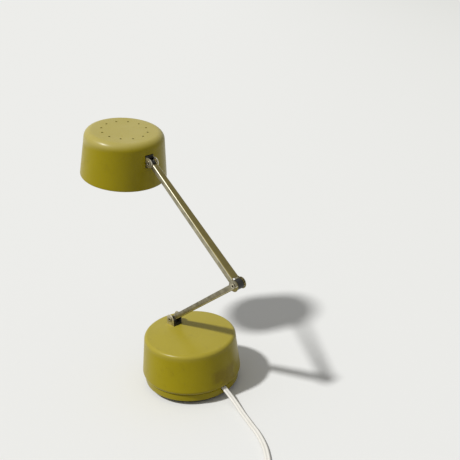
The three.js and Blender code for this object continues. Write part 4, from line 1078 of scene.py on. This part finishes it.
tall = np.sign(np.sin(superround)) * np.abs(np.sin(superround)) ** oblong
plug_rings = (
    np.array(plug_face)
    - back[:, None, None] * np.array(plug_to)
    + (half_wide[:, None] * side)[..., None] * np.array(plug_side)
    + (7.5 + half_high[:, None] * tall)[..., None] * np.array((0, 0, 1))
)
plug = grid_mesh("plug_moulding", plug_rings * MM, ivory_vinyl, sharp=40)
plug_place = Matrix.Translation(plug_face) @ Matrix.Rotation(math.pi / 2, 4, "Z")
slot_half = 0.85
blade_slots = [
    cutter((-7.9, offset - slot_half, 4.25), (1, offset + slot_half, 10.75), plug_place)
    for offset in (-6.35, 6.35)
]
carve(plug, blade_slots, 40)
place_piece(plug, "base", "ivory_flex", "plug_body")
blade_1 = softened("plug_blade_1", "plug_blade_near", "base", "nickel_plate", bright_nickel, 0.15)
blade_2 = softened("plug_blade_2", "plug_blade_far", "base", "nickel_plate", bright_nickel, 0.15)
(cord_line * MM).tolist()

# ---- Light ----
# A large soft lamp from the upper left, and a pale room all round: it is seen pale, straight on
# and in the polished metal, and it lights the table and the lamp at a plainer level.
world = bpy.data.worlds.new("room")
world.use_nodes = True
room = world.node_tree
rays = room.nodes.new("ShaderNodeLightPath")
room_seen = rays.outputs["Is Camera Ray"]
for kind in ("Is Glossy Ray", "Is Transmission Ray"):
    either = room.nodes.new("ShaderNodeMath")
    either.operation = "MAXIMUM"
    room.links.new(room_seen, either.inputs[0])
    room.links.new(rays.outputs[kind], either.inputs[1])
    room_seen = either.outputs[0]
room_strength = room.nodes.new("ShaderNodeMapRange")
room_strength.inputs["To Min"].default_value = 0.35
room_strength.inputs["To Max"].default_value = 0.68
room.links.new(room_seen, room_strength.inputs["Value"])
room_sky = room.nodes["Background"]
room_sky.inputs["Color"].default_value = (0.93, 0.93, 0.92, 1)
room.links.new(room_strength.outputs["Result"], room_sky.inputs["Strength"])
bpy.context.scene.world = world
key_data = bpy.data.lights.new("key", "SUN")
key_data.energy = 2.65
key_data.angle = math.radians(5)
key = bpy.data.objects.new("key", key_data)
bpy.context.scene.collection.objects.link(key)
to_key = Vector((-0.19, -0.57, 0.80)).normalized()
key.rotation_mode = "QUATERNION"
key.rotation_quaternion = to_key.to_track_quat("Z", "Y")

# ---- Table top ----
# A plain matt board, paler where it is looked at than where it throws light back up, and painted a
# little greyer towards its far side as painted falloff of the light. It isn't part of the lamp.
floor_finish = Finish("table_top", Roughness=0.9, Specular_IOR_Level=0.0)
seen = (
    floor_finish.node("LightPath", output="Is Camera Ray")
    + floor_finish.node("LightPath", output="Is Glossy Ray")
    + floor_finish.node("LightPath", output="Is Transmission Ray")
)
straight = floor_finish.node("Math", {"operation": "MINIMUM"}, {0: seen, 1: 1.0})
sideways = floor_finish.coordinates((0, 0, math.radians(-46.3)))
# Painted falloff: the board is painted greyer towards its far side.
painted_far_falloff = floor_finish.band(floor_finish.along(sideways, 0), -300, 3200)
pale = floor_finish.blend(painted_far_falloff, (0.845, 0.845, 0.825, 1), (0.69, 0.695, 0.66, 1))
floor_finish.colour(floor_finish.blend(straight, (0.29, 0.285, 0.27, 1), pale))
floor_mesh = bpy.data.meshes.new("table_top")
reach = 14.0
floor_mesh.from_pydata(
    [(-reach, -reach, 0), (reach, -reach, 0), (reach, reach, 0), (-reach, reach, 0)],
    [],
    [(0, 1, 2, 3)],
)
floor_mesh.materials.append(floor_finish.material)
table_top = bpy.data.objects.new("table_top", floor_mesh)
bpy.context.scene.collection.objects.link(table_top)

bpy.context.scene.view_settings.view_transform = "Standard"
